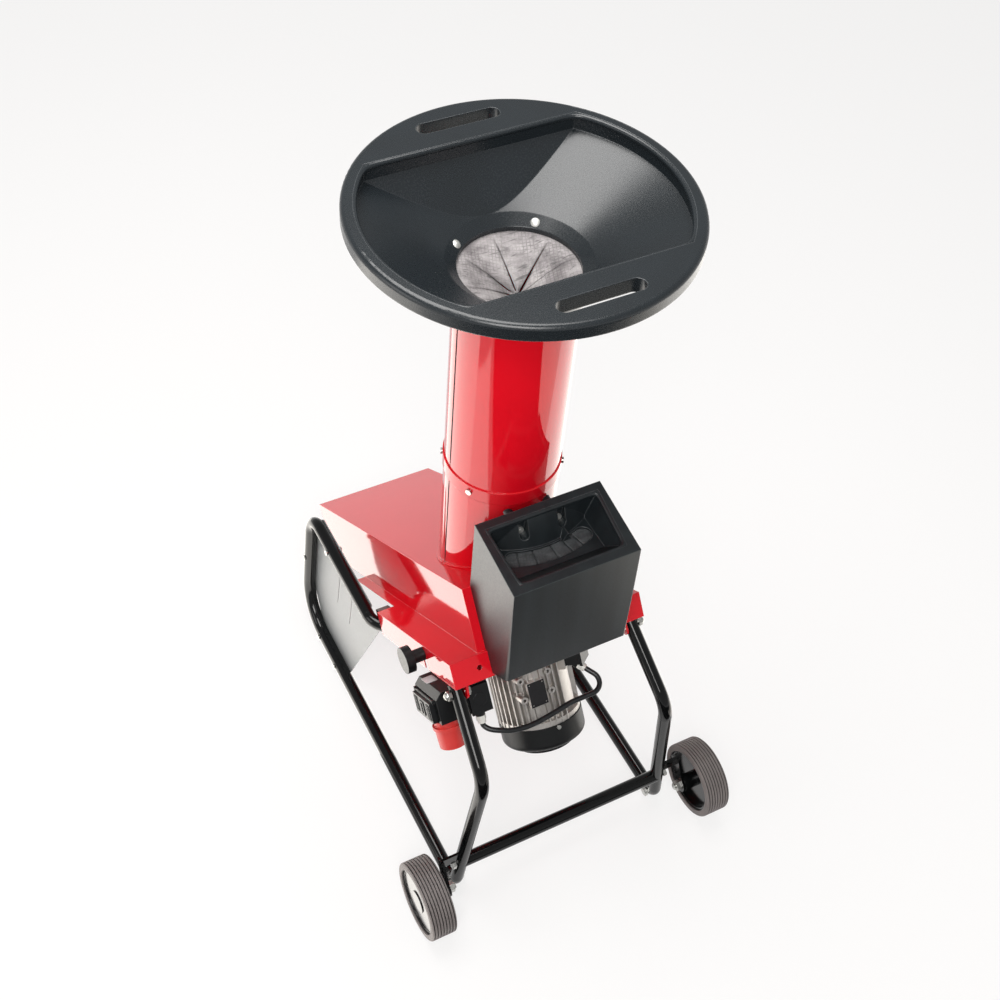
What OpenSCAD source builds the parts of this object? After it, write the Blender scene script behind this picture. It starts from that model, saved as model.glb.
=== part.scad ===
// Electric garden shredder: a disc chipper on a bent tube frame with two wheels,
// a round feed funnel on a tall tube and a side hopper for soft waste.
// The operator stands at -Y, the chips leave at +Y, and the floor is Z = 0.

/* [Frame] */
// Outer diameter of the frame tube
pipe_d = 26; // [20:1:30]
// Wall of the frame tube
pipe_wall = 2; // [1.5:0.5:3]
// Distance between the floor rails, centre to centre
frame_gap = 452; // [440:1:480]
// Inward lean of the side frames
splay = 6; // [5:0.5:6.5]
// Length of a floor rail between its corners
rail_len = 736; // [700:1:780]
// Height of a top rail above its floor rail
rail_rise = 274; // [262:1:280]
// Knee of the leg: distance behind the axle
knee_y = 24; // [18:1:30]
// Knee of the leg: height above the floor rail
knee_rise = 360; // [340:1:380]
// Front corner of a floor rail behind the axle
heel_y = 31; // [26:1:36]
// Rearward lean of the rear upright
upright_lean = 23; // [15:1:30]
// Bend radius at the heel and at the crest
small_bend = 32; // [28:1:40]
// Bend radius at the knee
knee_bend = 60; // [50:1:70]
// Bend radius at the rear floor corner
toe_bend = 95; // [80:1:105]
// Height of the cross tube above the floor
cross_z = 98; // [92:1:110]
// Thickness of the side guards
guard_t = 1.5; // [1:0.5:3]

/* [Wheels] */
// Wheel diameter
wheel_d = 153; // [145:1:160]
// Tyre width
wheel_w = 50; // [44:1:54]
// Distance between the wheel centres
wheel_track = 600; // [596:1:620]
// Axle bolt diameter
axle_d = 12; // [10:1:14]
// Grooves round the tyre
tyre_grooves = 7; // [5:1:8]

/* [Hood and base plate] */
// Slope of the base plate
tilt = 35.8; // [34.5:0.1:37]
// Front edge of the hood flange behind the axle
tray_y = 170.5; // [168:0.5:173]
// Height of that edge
tray_z = 543.3; // [540:0.5:547]
// Sheet thickness of the hood
sheet = 2; // [1.5:0.5:2.5]
// Width of the hood flange
flange_w = 381; // [379:1:384]
// Length of the wide flange
flange_len = 374; // [366:1:380]
// Width of the narrow flange
neck_w = 308; // [296:1:312]
// Length of the narrow flange
neck_len = 604; // [580:1:620]
// Depth of the skirts
skirt_h = 48; // [44:1:50]
// Width of the hood
hood_w = 268; // [264:1:274]
// Height of the hood
hood_h = 120; // [116:1:126]
// Far end of the hood, along the slope
hood_end = 830; // [810:1:840]

/* [Feed tube and funnel] */
// Feed tube diameter
tube_d = 200; // [190:1:204]
// Feed tube wall
tube_wall = 2; // [1.5:0.5:3]
// Feed tube axis behind the axle
tube_y = 375.5; // [372:0.5:379]
// Middle height of the joint between the tubes
tube_split = 788; // [770:1:800]
// Top of the feed tube
tube_top = 1190; // [1180:1:1200]
// Funnel diameter
rim_d = 531; // [515:1:545]
// Height of the funnel above the feed tube
funnel_h = 130; // [124:1:136]
// Distance between the two handle lands
land_gap = 342; // [330:1:352]
// Length of a handle slot
grip_len = 140; // [120:1:150]

/* [Side hopper] */
// Hopper width
hop_w = 236; // [228:1:244]
// Hopper depth at the top
hop_depth = 142; // [138:1:148]
// Hopper top at its rear edge
hop_top = 800; // [794:1:806]
// Height of the feed shelf
shelf_z = 738; // [732:1:742]
// Plastic wall
hop_wall = 4; // [3:0.5:4.5]

/* [Motor and cutter] */
// Motor axis behind the hood front edge, along the slope
motor_l = 131; // [130:1:134]
// Motor diameter over the fins
motor_d = 160; // [156:1:164]
// Motor length from the base plate to the cowl
motor_len = 203; // [198:1:210]
// Cowl length
cowl_len = 60; // [57:1:66]
// Cooling fins round the motor
fin_count = 40; // [32:2:48]
// Shaft diameter
shaft_d = 24; // [20:1:26]
// Cutter disc diameter
disc_d = 230; // [220:1:234]
// Cutter disc thickness
disc_t = 12; // [10:1:13]

/* [Switch and cable] */
// Switch box length along the slope
switch_len = 105; // [95:1:110]
// Switch box height
switch_h = 60; // [56:1:66]
// Cable diameter
cable_d = 10; // [8:1:11]

/* [Hidden] */
$fn = 64;
gap = 0.3;
pipe_r = pipe_d / 2;
tube_r = tube_d / 2;
wheel_r = wheel_d / 2;
motor_r = motor_d / 2;
shaft_r = shaft_d / 2;
disc_r = disc_d / 2;
rim_r = rim_d / 2;
hood_l = 6;
base_t = 3;
base_h = -sheet - gap;
base_low = base_h - base_t;

// Place of a point given along and square to the slope, as [y, z]
function at_l(l, h) = [
    tray_y + l * cos(tilt) + h * sin(tilt),
    tray_z - l * sin(tilt) + h * cos(tilt)];
function along(z) = (z - pipe_r) / cos(splay);
function wrap(a) = a > 180 ? a - 360 : (a < -180 ? a + 360 : a);
function heading(p, i) = atan2(p[i + 1][1] - p[i][1], p[i + 1][0] - p[i][0]);
function turn(p, i) = wrap(heading(p, i) - heading(p, i - 1));
function trim(p, b, i) = b[i] == 0 ? 0 : b[i] * tan(abs(turn(p, i)) / 2);
function frame_x(z) = frame_gap / 2 - (z - pipe_r) * tan(splay);

far_top = at_l(hood_end, hood_h);
mid_y = (far_top[0] - wheel_r) / 2;

// Side frame corners, as [distance behind the axle, height along the lean]
leg_drop = skirt_h + 8;
leg_top = at_l(39, -leg_drop);
leg_end = [leg_top[0], along(leg_top[1])];
knee = [knee_y, knee_rise];
heel = [heel_y, 0];
toe = [heel_y + rail_len, 0];
crest = [toe[0] + upright_lean, rail_rise];
leg_dir = (leg_end - knee) / norm(leg_end - knee);
leg_bolt = leg_end - 14 * leg_dir;
curl_bend = 40;
curl_run = 56;
saddle_l = flange_len + 12;
saddle_w = 26;
saddle_out = flange_w / 2 - 3.5;
saddle_x = saddle_out - saddle_w / 2;
saddle_bolt_x = saddle_x - 2;
saddle_drop = -39.4634;
rail_end_rise = along(at_l(saddle_l, saddle_drop)[1]);
curl_y = at_l(saddle_l, saddle_drop)[0];
rail_end = [curl_y + curl_bend, rail_end_rise];
side_path = [leg_end, knee, heel, toe, crest, rail_end];
side_bends = [0, knee_bend, small_bend, toe_bend, small_bend + 10, 0];
curl_path = [[0, 0], [curl_bend, 0], [curl_bend, -curl_run]];
curl_bends = [0, curl_bend, 0];
cross_s = along(cross_z);
cross_y = heel_y + (knee_y - heel_y) * cross_s / knee_rise;
cross_half = frame_x(cross_z);
heel_bolt = heel + 0.293 * small_bend * [1, 1];
upright_at = 0.55;
guard_sites = [
    heel * (1 - 0.76) + toe * 0.76,
    heel * (1 - 0.875) + toe * 0.875,
    toe * (1 - upright_at) + crest * upright_at,
    [crest[0] - 110, rail_rise + (rail_end_rise - rail_rise) * 110 / (crest[0] - rail_end[0])]];

// Wheels and brackets
axle_r = axle_d / 2;
wheel_x = wheel_track / 2;
bracket_x = wheel_x - wheel_w / 2 - 18;
bracket_t = 5;
arm_z = 136;

// Feed tube heights
socket_h = 28;
flap_z = tube_top + 0.2;
flap_sag = 52;
seat_z = tube_top + 12;
ring_z = tube_top + 27;
rim_top = tube_top + funnel_h;
step_z = rim_top - 30;
ring_r = tube_r + 13;
throat_r = tube_r - 5;
band_slope = (ring_r - throat_r) / (ring_z - seat_z);
ring_screw_r = throat_r + 7.5;
ring_screw_z = seat_z + 7.5 / band_slope;
ring_turns = [49, 131, 229, 311];
pocket_r = rim_r - 19;
rim_skirt = 25;
funnel_t = 4;
screw_turns = [30, 150, 210, 330];
tube_l = (tube_y - tray_y - hood_h * sin(tilt)) / cos(tilt);

// Hopper
hop_back = tube_y - tube_r - 29;
hop_front = hop_back - hop_depth;
bulge_r = tube_y - hop_back + 40;
slot_in = bulge_r + 4;
slot_out = slot_in + 32;
mouth_w = 164;
slot_turn = asin((mouth_w - slot_out + slot_in) / (slot_in + slot_out));
screw_x = 36;
screw_z = hop_top - 42;
screw_face = hop_back - 8.5;
pocket_foot = tube_y - slot_out - 10.5;

// Motor stack, heights square to the slope from the hood flange
shield_t = 14;
frame_top = base_low - shield_t;
frame_low = base_low - motor_len;
rear_low = frame_low - 12;
cowl_low = frame_low - cowl_len;
core_r = motor_r - 11;
bore_r = core_r - 8;
stator_r = bore_r - 20;
disc_low = 46;
disc_top = disc_low + disc_t;
blade_t = 8;
blade_top = disc_top + blade_t;
fan_top = rear_low - 10;
terminal_turn = -42;
terminal_drop = 91;
terminal_w = 44;
terminal_h = 37;
plate_low = frame_top - 142;

// Switch
switch_l = 53;
switch_top = -skirt_h - 17;
switch_low = switch_top - switch_h;
switch_out = -flange_w / 2 - 23.5;
switch_in = -flange_w / 2 + 75.5;
button_stroke = 3;
cover_len = switch_len - 24;
cover_mid = switch_l + switch_len / 2;
inlet_x = switch_out + 20;
inlet_l = switch_l + 28;

// Hinge and lock
hinge_l = hood_end - 34;
hinge_h = 10;
hinge_r = 4;
knob_l = 135;
knob_h = -17;
stud_r = 4;

// Motor cable route: across the slope, along it, square to it
cable_route = [
    [switch_in - 25, switch_l + 1, switch_low - 5], [switch_in - 25, switch_l + 1, switch_low - 24],
    [switch_in - 23, switch_l - 1, switch_low - 32], [-130, 46, -164],
    [-116, 41, -170], [-96, 37, -177], [-70, 36, -181], [-45, 36, -181],
    [-20, 36, -178], [5, 36, -174], [30, 36, -170], [55, 34, -168.5],
    [74.2, 32.4, -167.3], [79.6, 32.4, -166.4], [84.7, 33.2, -164.2], [89, 34.8, -161.1],
    [92.2, 37.1, -157.2], [94, 39.9, -152.7], [94.4, 43, -148.1], [93.3, 46.2, -143.7],
    [90.8, 49.2, -139.8]];

// Point on the axis of the motor gland, t from its foot
gland_h = frame_top - terminal_drop;
function gland_at(t) = let (r = motor_r - 0.95 + 8 + t * sin(130))
    [r * cos(terminal_turn), motor_l + r * sin(terminal_turn), gland_h + t * cos(130)];
cable_path = concat(cable_route, [gland_at(37), gland_at(30), gland_at(14)]);

// Shared frames

module on_floor() {
    translate([0, -mid_y, 0]) children();
}

module on_tray() {
    on_floor() translate([0, tray_y, tray_z]) rotate([-tilt, 0, 0]) children();
}

module on_motor() {
    on_tray() translate([0, motor_l, 0]) children();
}

module on_tube() {
    on_floor() translate([0, tube_y, 0]) children();
}

module on_side(s) {
    on_floor() mirror([s < 0 ? 1 : 0, 0, 0])
        translate([frame_gap / 2, 0, pipe_r]) rotate([0, -splay, 0]) children();
}

module on_wheel(s) {
    on_floor() mirror([s < 0 ? 1 : 0, 0, 0])
        translate([wheel_x, 0, wheel_r]) rotate([0, 90, 0]) children();
}

// Turns a profile drawn in [y, z] so that it extrudes along X
module across() {
    rotate([90, 0, 90]) children();
}

// Bent tube

module pipe_ring(r, wall) {
    difference() {
        circle(r);
        if (wall > 0) circle(r - wall);
    }
}

module pipe_run(p, b, r, wall) {
    for (i = [0 : len(p) - 2]) {
        a = heading(p, i);
        t0 = i == 0 ? 0 : trim(p, b, i);
        t1 = i == len(p) - 2 ? 0 : trim(p, b, i + 1);
        run = norm(p[i + 1] - p[i]) - t0 - t1;
        start = p[i] + t0 * [cos(a), sin(a)];
        if (run > 0.01)
            translate([start[0], start[1], 0]) rotate([0, 0, a]) rotate([0, 90, 0])
                linear_extrude(run) pipe_ring(r, wall);
    }
    if (len(p) > 2) for (i = [1 : len(p) - 2]) {
        a = heading(p, i - 1);
        w = turn(p, i);
        side = w > 0 ? 90 : -90;
        start = p[i] - trim(p, b, i) * [cos(a), sin(a)];
        mid = start + b[i] * [cos(a + side), sin(a + side)];
        // Each elbow reaches a little way inside the straights it joins
        over = 60 / b[i];
        translate([mid[0], mid[1], 0]) rotate([0, 0, (w > 0 ? a - 90 : a + 90 + w) - over])
            rotate_extrude(angle = abs(w) + 2 * over) translate([b[i], 0])
                pipe_ring(r - 0.1, wall > 0 ? wall - 0.2 : 0);
    }
}

module curl(r, wall) {
    translate([0, rail_end[0], rail_end_rise]) rotate([0, 0, -90])
        pipe_run(curl_path, curl_bends, r, wall);
}

module side_hole(site, r) {
    translate([0, site[0], site[1]]) rotate([0, 90, 0]) cylinder(h = 4 * pipe_r, r = r, center = true);
}

module frame_pipe() {
    difference() {
        union() {
            across() pipe_run(side_path, side_bends, pipe_r, pipe_wall);
            curl(pipe_r, pipe_wall);
        }
        side_hole(leg_bolt, 5.05);
        side_hole(heel_bolt, 5.05);
        side_hole([cross_y, cross_s], 5.05);
        for (g = guard_sites) side_hole(g, 3.05);
    }
}

module left_frame() {
    color("black") on_side(-1) frame_pipe();
}

module right_frame() {
    color("black") on_side(1) frame_pipe();
}

// Plug with a rim, along +Z out of the tube
module pipe_cap() {
    cylinder(h = 3, r = pipe_r);
    translate([0, 0, -6]) cylinder(h = 6.5, r = pipe_r - pipe_wall - 0.05);
}

module pipe_caps() {
    color("dimgray") for (s = [-1, 1]) on_side(s) {
        translate([-curl_run, curl_y, rail_end_rise]) rotate([0, -90, 0]) pipe_cap();
        translate([0, leg_end[0], leg_end[1]])
            rotate([90 - 90 - atan2(leg_dir[0], leg_dir[1]), 0, 0]) pipe_cap();
    }
}

// Hex bolt along +Z with its head below Z = 0
module hex_bolt(r, length) {
    cylinder(h = length, r = r);
    translate([0, 0, -1.3 * r]) cylinder(h = 1.3 * r, r = 1.9 * r, $fn = 6);
}

// Dome nut on a bolt along +Z
module dome_nut(r) {
    difference() {
        union() {
            cylinder(h = 1.4 * r, r = 1.9 * r, $fn = 6);
            translate([0, 0, 1.2 * r]) sphere(1.5 * r);
        }
        translate([0, 0, -2.02 * r]) cylinder(h = 2 * r, r = 4 * r);
        translate([0, 0, -0.1]) cylinder(h = 1.5 * r, r = r + 0.02);
    }
}

module cross_tube() {
    color("black") difference() {
        on_floor() translate([0, cross_y, cross_z]) rotate([0, 90, 0]) difference() {
            cylinder(h = 2 * cross_half, r = pipe_r, center = true);
            cylinder(h = 2 * (cross_half - pipe_d), r = pipe_r - pipe_wall, center = true);
        }
        for (s = [-1, 1]) on_side(s) {
            side_hole([cross_y, cross_s], 5.05);
            across() pipe_run([heel, knee], [0, 0], pipe_r + 0.05, 0);
        }
    }
}

module cross_bolts() {
    color("silver") for (s = [-1, 1]) on_side(s)
        translate([pipe_r + 0.05, cross_y, cross_s]) rotate([0, -90, 0]) hex_bolt(5, pipe_d + 9);
}

module heel_bolts() {
    color("silver") for (s = [-1, 1]) on_side(s)
        translate([-pipe_r - 0.05, heel_bolt[0], heel_bolt[1]]) rotate([0, 90, 0]) hex_bolt(5, pipe_d + 6);
}

// Wheels

// Flat arm from the axle up to a web on the leg
module bracket(s) {
    web_low = arm_z - 26;
    difference() {
        on_floor() mirror([s < 0 ? 1 : 0, 0, 0]) {
            translate([bracket_x, 0, 0]) across() linear_extrude(bracket_t) translate([0, wheel_r]) {
                circle(16);
                rotate(atan2(arm_z - 13 - wheel_r, cross_y)) translate([0, -13])
                    square([norm([arm_z - 13 - wheel_r, cross_y]) + 8, 26]);
                translate([cross_y - 2.5, web_low - wheel_r]) square([5, 26]);
            }
            translate([frame_x(arm_z), cross_y - 2.5, web_low])
                cube([bracket_x + 1 - frame_x(arm_z), 5, 26]);
        }
        on_side(s) across() pipe_run([heel, knee], [0, 0], pipe_r + 0.05, 0);
        on_wheel(s) cylinder(h = 200, r = axle_r + 0.05, center = true);
    }
}

module left_bracket() {
    color("black") bracket(-1);
}

module right_bracket() {
    color("black") bracket(1);
}

module axle_bolts() {
    color("silver") for (s = [-1, 1]) on_wheel(s)
        translate([0, 0, 8]) rotate([180, 0, 0]) hex_bolt(axle_r, 8 + wheel_x - bracket_x + 14);
    color("silver") for (s = [-1, 1]) on_wheel(s)
        translate([0, 0, bracket_x - wheel_x - 10.05]) difference() {
            cylinder(h = 10, r = 1.8 * axle_r, $fn = 6);
            translate([0, 0, -1]) cylinder(h = 12, r = axle_r + 0.02);
        }
}

module tyre() {
    pitch = (wheel_w - 8) / tyre_grooves;
    rotate_extrude() difference() {
        union() {
            translate([wheel_r - 13, -wheel_w / 2]) square([9, wheel_w]);
            translate([wheel_r - 5, 4 - wheel_w / 2]) square([5, wheel_w - 8]);
            for (s = [-1, 1]) translate([wheel_r - 4, s * (wheel_w / 2 - 4)]) circle(4);
        }
        for (i = [0 : tyre_grooves])
            translate([wheel_r - 2.5, 4 - wheel_w / 2 + i * pitch - 1]) square([4, 2]);
    }
}

module hub() {
    rotate_extrude() {
        translate([wheel_r - 18, 4 - wheel_w / 2]) square([4.95, wheel_w - 8]);
        translate([axle_r + 4, -10]) square([wheel_r - 18 - axle_r - 3, 6]);
        translate([axle_r + 0.05, bracket_x + bracket_t + 1 - wheel_x])
            square([10, wheel_x - bracket_x - bracket_t + 6.5]);
        translate([wheel_r - 26, -10]) square([3, 12]);
    }
}

module cap() {
    rotate_extrude() {
        translate([0, wheel_w / 2 - 8]) square([wheel_r - 18.1, 3]);
        translate([wheel_r - 21.1, wheel_w / 2 - 16]) square([3, 9]);
        translate([0, wheel_w / 2 - 6]) square([22, 3]);
    }
}

module left_tyre() {
    color("dimgray") on_wheel(-1) tyre();
}

module left_hub() {
    color("black") on_wheel(-1) hub();
}

module left_cap() {
    color("black") on_wheel(-1) cap();
}

module right_tyre() {
    color("dimgray") on_wheel(1) tyre();
}

module right_hub() {
    color("black") on_wheel(1) hub();
}

module right_cap() {
    color("black") on_wheel(1) cap();
}

// Side guards, on the inner side of the tubes

module guard() {
    x0 = -pipe_r - guard_t - 0.05;
    top = rail_rise - pipe_r - 9;
    difference() {
        translate([x0, 0, 0]) across() linear_extrude(guard_t) polygon([
            [curl_y + 12, top], [heel[0] + 0.727 * rail_len, -8],
            [toe[0] - 0.62 * toe_bend, -8], [toe[0] + 2, 0.62 * toe_bend],
            [crest[0] + 6, rail_rise - 30], [crest[0] - 30, rail_rise + 8],
            [rail_end[0] + 16, rail_rise + 8], [rail_end[0] + 16, top]]);
        for (y = [crest[0] - 134, crest[0] - 196])
            translate([x0 - 1, y, 0.47 * rail_rise]) rotate([-2, 0, 0])
                cube([guard_t + 2, 3, 0.43 * rail_rise]);
        for (g = guard_sites) side_hole(g, 3.05);
    }
}

module left_guard() {
    color("lightgray") on_side(-1) guard();
}

module right_guard() {
    color("lightgray") on_side(1) guard();
}

module guard_screws() {
    color("silver") for (s = [-1, 1]) on_side(s) for (g = guard_sites)
        translate([pipe_r + 0.05, g[0], g[1]]) rotate([0, -90, 0]) {
            cylinder(h = pipe_d + guard_t + 5, r = 3);
            translate([0, 0, -3]) cylinder(h = 3, r = 5.5);
            translate([0, 0, pipe_d + guard_t + 0.2]) cylinder(h = 4, r = 5.5, $fn = 6);
        }
}

// Base plate

module base_outline() {
    translate([-flange_w / 2 + 7, 4]) square([flange_w - 14, flange_len - 4]);
    translate([-neck_w / 2 + 4, 4]) square([neck_w - 8, neck_len - 8]);
    translate([-hood_w / 2 + sheet + 3, 4]) square([hood_w - 2 * sheet - 6, hood_end - 19]);
}

module lug(s) {
    on_side(s) translate([-pipe_r - 4.05, leg_bolt[0], leg_bolt[1]]) across() linear_extrude(4)
        rotate(-tilt) difference() {
            union() {
                circle(14);
                translate([-14, 0]) square([28, 90]);
            }
            circle(5.05);
        }
}

module base_plate() {
    color("firebrick") {
        on_tray() difference() {
            union() {
                translate([0, 0, base_low]) linear_extrude(base_t) base_outline();
                for (s = [-1, 1]) translate([s * (flange_w / 2 - 8) - 1, 10, base_low - 28])
                    cube([2, flange_len - 42, 29]);
                translate([switch_in + gap, switch_l + 8, switch_low - 2])
                    cube([3, switch_len - 20, base_low + 1 - switch_low + 2]);
                for (s = [-1, 1]) translate([s * (hood_w / 2 - sheet - 4.5) - 1.5, hinge_l - 14, base_low])
                    cube([3, 28, hinge_h + 14 - base_low]);
            }
            translate([0, motor_l, base_low - 1]) cylinder(h = 10, r = shaft_r + 14);
            for (a = [45 : 90 : 315]) translate([0, motor_l, base_low - 1]) rotate(a)
                translate([motor_r - 14, 0, 0]) cylinder(h = 10, r = 4.05);
            for (s = [-1, 1]) translate([s * saddle_bolt_x, flange_len - 12, base_low - 1])
                cylinder(h = 10, r = 4.05);
            translate([0, knob_l, knob_h]) rotate([0, -90, 0]) cylinder(h = 300, r = stud_r + 0.05);
            translate([0, hinge_l, hinge_h]) rotate([0, 90, 0])
                cylinder(h = 2 * hood_w, r = hinge_r + 0.05, center = true);
        }
        for (s = [-1, 1]) difference() {
            lug(s);
            on_tray() translate([-flange_w, -100, base_low + 1]) cube([2 * flange_w, flange_len + 100, 200]);
        }
    }
}

module leg_bolts() {
    color("silver") for (s = [-1, 1]) on_side(s)
        translate([-pipe_r - 4.1, leg_bolt[0], leg_bolt[1]]) rotate([0, 90, 0]) hex_bolt(5, pipe_d + 9);
    color("silver") for (s = [-1, 1]) on_side(s)
        translate([pipe_r + 0.05, leg_bolt[0], leg_bolt[1]]) rotate([0, 90, 0]) dome_nut(5);
}

// Saddle between a curled rail end and the base plate
module saddles() {
    tongue = neck_w / 2 + 7;
    color("black") for (s = [-1, 1]) difference() {
        on_tray() mirror([s < 0 ? 1 : 0, 0, 0]) {
            translate([saddle_x - saddle_w / 2, flange_len - 26, base_low - 4.05]) cube([saddle_w, 44, 4]);
            translate([tongue, flange_len + 2, base_low - 4.05]) cube([saddle_out - tongue, 16, -base_low + 4]);
            translate([saddle_x - saddle_w / 2, flange_len + 4, saddle_drop])
                cube([saddle_w, 14, base_low - 4 - saddle_drop]);
        }
        on_tray() translate([s * saddle_bolt_x, flange_len - 12, base_low - 20]) cylinder(h = 40, r = 4.05);
        on_side(s) curl(pipe_r + 0.1, 0);
    }
}

module saddle_bolts() {
    color("silver") on_tray() for (s = [-1, 1])
        translate([s * saddle_bolt_x, flange_len - 12, base_low - 4.1]) {
            hex_bolt(4, base_t + 4.1);
        }
}

module hinge_bolts() {
    color("silver") on_tray() for (s = [-1, 1]) mirror([s < 0 ? 1 : 0, 0, 0])
        translate([hood_w / 2 + gap, hinge_l, hinge_h]) rotate([0, -90, 0]) hex_bolt(hinge_r, 14);
}

// Motor, Z along its axis

module fins() {
    for (i = [0 : fin_count - 1]) {
        a = i * 360 / fin_count;
        far = abs(wrap(a - terminal_turn)) > 28;
        if (far) rotate(a) translate([core_r - 2, -1.2]) square([motor_r - core_r + 2, 2.4]);
    }
}

module motor_body() {
    color("silver") on_motor() difference() {
        union() {
            translate([0, 0, frame_low]) linear_extrude(frame_top - frame_low) {
                circle(core_r);
                fins();
            }
            for (z = [frame_top - 9, frame_low]) translate([0, 0, z]) cylinder(h = 9, r = motor_r - 2);
            rotate(terminal_turn) translate([bore_r, -terminal_w / 2 - 2, frame_top - terminal_drop - 6])
                cube([motor_r - bore_r - 1, terminal_w + 4, terminal_h + 10]);
            for (x = [-52, 4], z = [frame_top - 84, frame_top - 122])
                translate([x, 0, z]) rotate([90, 0, 0]) cylinder(h = motor_r - 2, r = 7);
            translate([-42, -motor_r + 3, plate_low - 1]) cube([36, 20, 50]);
        }
        translate([0, 0, frame_low - 1]) cylinder(h = motor_len, r = bore_r);
        for (x = [-52, 4], z = [frame_top - 84, frame_top - 122])
            translate([x, -bore_r - 4, z]) rotate([90, 0, 0]) cylinder(h = 40, r = 3);
        translate([-42, -motor_r - 5, plate_low - 1]) cube([36, 8, 50]);
    }
}

module rating_plate() {
    color("dimgray") on_motor() translate([-41, -motor_r + 2.4, plate_low]) difference() {
        cube([34, 0.6, 48]);
        for (x = [4, 30], z = [4, 44]) translate([x, 1, z]) rotate([90, 0, 0]) cylinder(h = 2, r = 1.2);
    }
}

module front_shield() {
    color("silver") on_motor() difference() {
        translate([0, 0, frame_top]) cylinder(h = shield_t, r = motor_r - 2);
        translate([0, 0, frame_top - 1]) cylinder(h = shield_t - 1, r = shaft_r + 14);
        translate([0, 0, frame_top - 1]) cylinder(h = shield_t + 2, r = shaft_r + 1);
        for (a = [45 : 90 : 315]) rotate(a) translate([motor_r - 14, 0, frame_top - 1])
            cylinder(h = shield_t + 2, r = 4.05);
    }
}

module rear_shield() {
    color("silver") on_motor() difference() {
        translate([0, 0, rear_low]) cylinder(h = frame_low - rear_low, r = motor_r - 2.2);
        translate([0, 0, rear_low + 2]) cylinder(h = 20, r = shaft_r + 14);
        translate([0, 0, rear_low - 1]) cylinder(h = 20, r = shaft_r + 1);
        for (a = [0 : 90 : 270]) rotate(a) translate([motor_r - 12, 0, frame_low - 6]) rotate([0, 90, 0])
            cylinder(h = 20, r = 2.05);
    }
}

module bearings() {
    color("gray") on_motor() for (z = [frame_top + 2, rear_low + 2]) translate([0, 0, z]) difference() {
        cylinder(h = 9.9, r = shaft_r + 13.95);
        translate([0, 0, -1]) cylinder(h = 12, r = shaft_r + 0.05);
    }
}

module stator() {
    color("peru") on_motor() translate([0, 0, frame_low + 40]) difference() {
        cylinder(h = motor_len - shield_t - 80, r = bore_r - 0.05);
        translate([0, 0, -1]) cylinder(h = motor_len, r = stator_r);
    }
}

module motor_bolts() {
    color("silver") on_motor() for (a = [45 : 90 : 315]) rotate(a)
        translate([motor_r - 14, 0, base_h + 0.05]) rotate([180, 0, 0]) hex_bolt(4, base_t + shield_t);
    color("silver") on_motor() for (a = [0 : 90 : 270]) rotate(a)
        translate([motor_r + 0.05, 0, frame_low - 6]) rotate([0, 90, 0]) {
            translate([0, 0, -9]) cylinder(h = 10, r = 2);
            cylinder(h = 2.5, r = 4);
        }
}

module fan_cowl() {
    color("black") on_motor() difference() {
        rotate_extrude() difference() {
            union() {
                translate([0, cowl_low + 24]) square([motor_r, cowl_len - 25]);
                translate([motor_r - 12, cowl_low + 24]) circle(12);
                translate([0, cowl_low + 12]) square([motor_r - 12, 13]);
                translate([0, cowl_low]) square([motor_r - 25, 14]);
            }
            translate([-motor_r, cowl_low]) square([motor_r, cowl_len]);
            translate([0, cowl_low + 15]) square([motor_r - 16, 12]);
            translate([0, cowl_low + 24]) square([motor_r - 2.15, cowl_len]);
            translate([0, cowl_low + 2.5]) square([motor_r - 28, 14]);
        }
        for (r = [17, 28, 39]) translate([0, 0, cowl_low - 1]) for (a = [0 : 90 : 270])
            rotate(a + 8) rotate_extrude(angle = 74) translate([r, 0]) square([7, 6]);
        for (a = [0 : 90 : 270]) rotate(a) translate([motor_r - 12, 0, frame_low - 6])
            rotate([0, 90, 0]) cylinder(h = 20, r = 2.05);
    }
}

module on_terminal() {
    on_motor() rotate(terminal_turn) translate([motor_r - 0.95, 0, frame_top - terminal_drop]) children();
}

module on_gland() {
    translate([8, 0, 0]) rotate([0, 130, 0]) children();
}

module terminal_box() {
    color("black") on_terminal() difference() {
        union() {
            translate([0, -terminal_w / 2, 0]) cube([28, terminal_w, terminal_h]);
            on_gland() cylinder(h = 12, r = 9);
        }
        translate([3, 3 - terminal_w / 2, 3]) cube([40, terminal_w - 6, terminal_h - 6]);
        on_gland() cylinder(h = 40, r = cable_d / 2 + 0.3, center = true);
    }
}

module terminal_lid() {
    color("black") on_terminal() translate([28.05, -terminal_w / 2 - 2, -2])
        cube([5, terminal_w + 4, terminal_h + 4]);
}

module gland_ring(r) {
    difference() {
        union() {
            cylinder(h = 9, r = r + 4.5, $fn = 6);
            translate([0, 0, 8]) cylinder(h = 7, r = r + 2.5);
        }
        translate([0, 0, -1]) cylinder(h = 20, r = r + 0.3);
    }
}

module motor_gland() {
    color("white") on_terminal() on_gland() translate([0, 0, 12.05]) gland_ring(cable_d / 2);
}

// Switch

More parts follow.
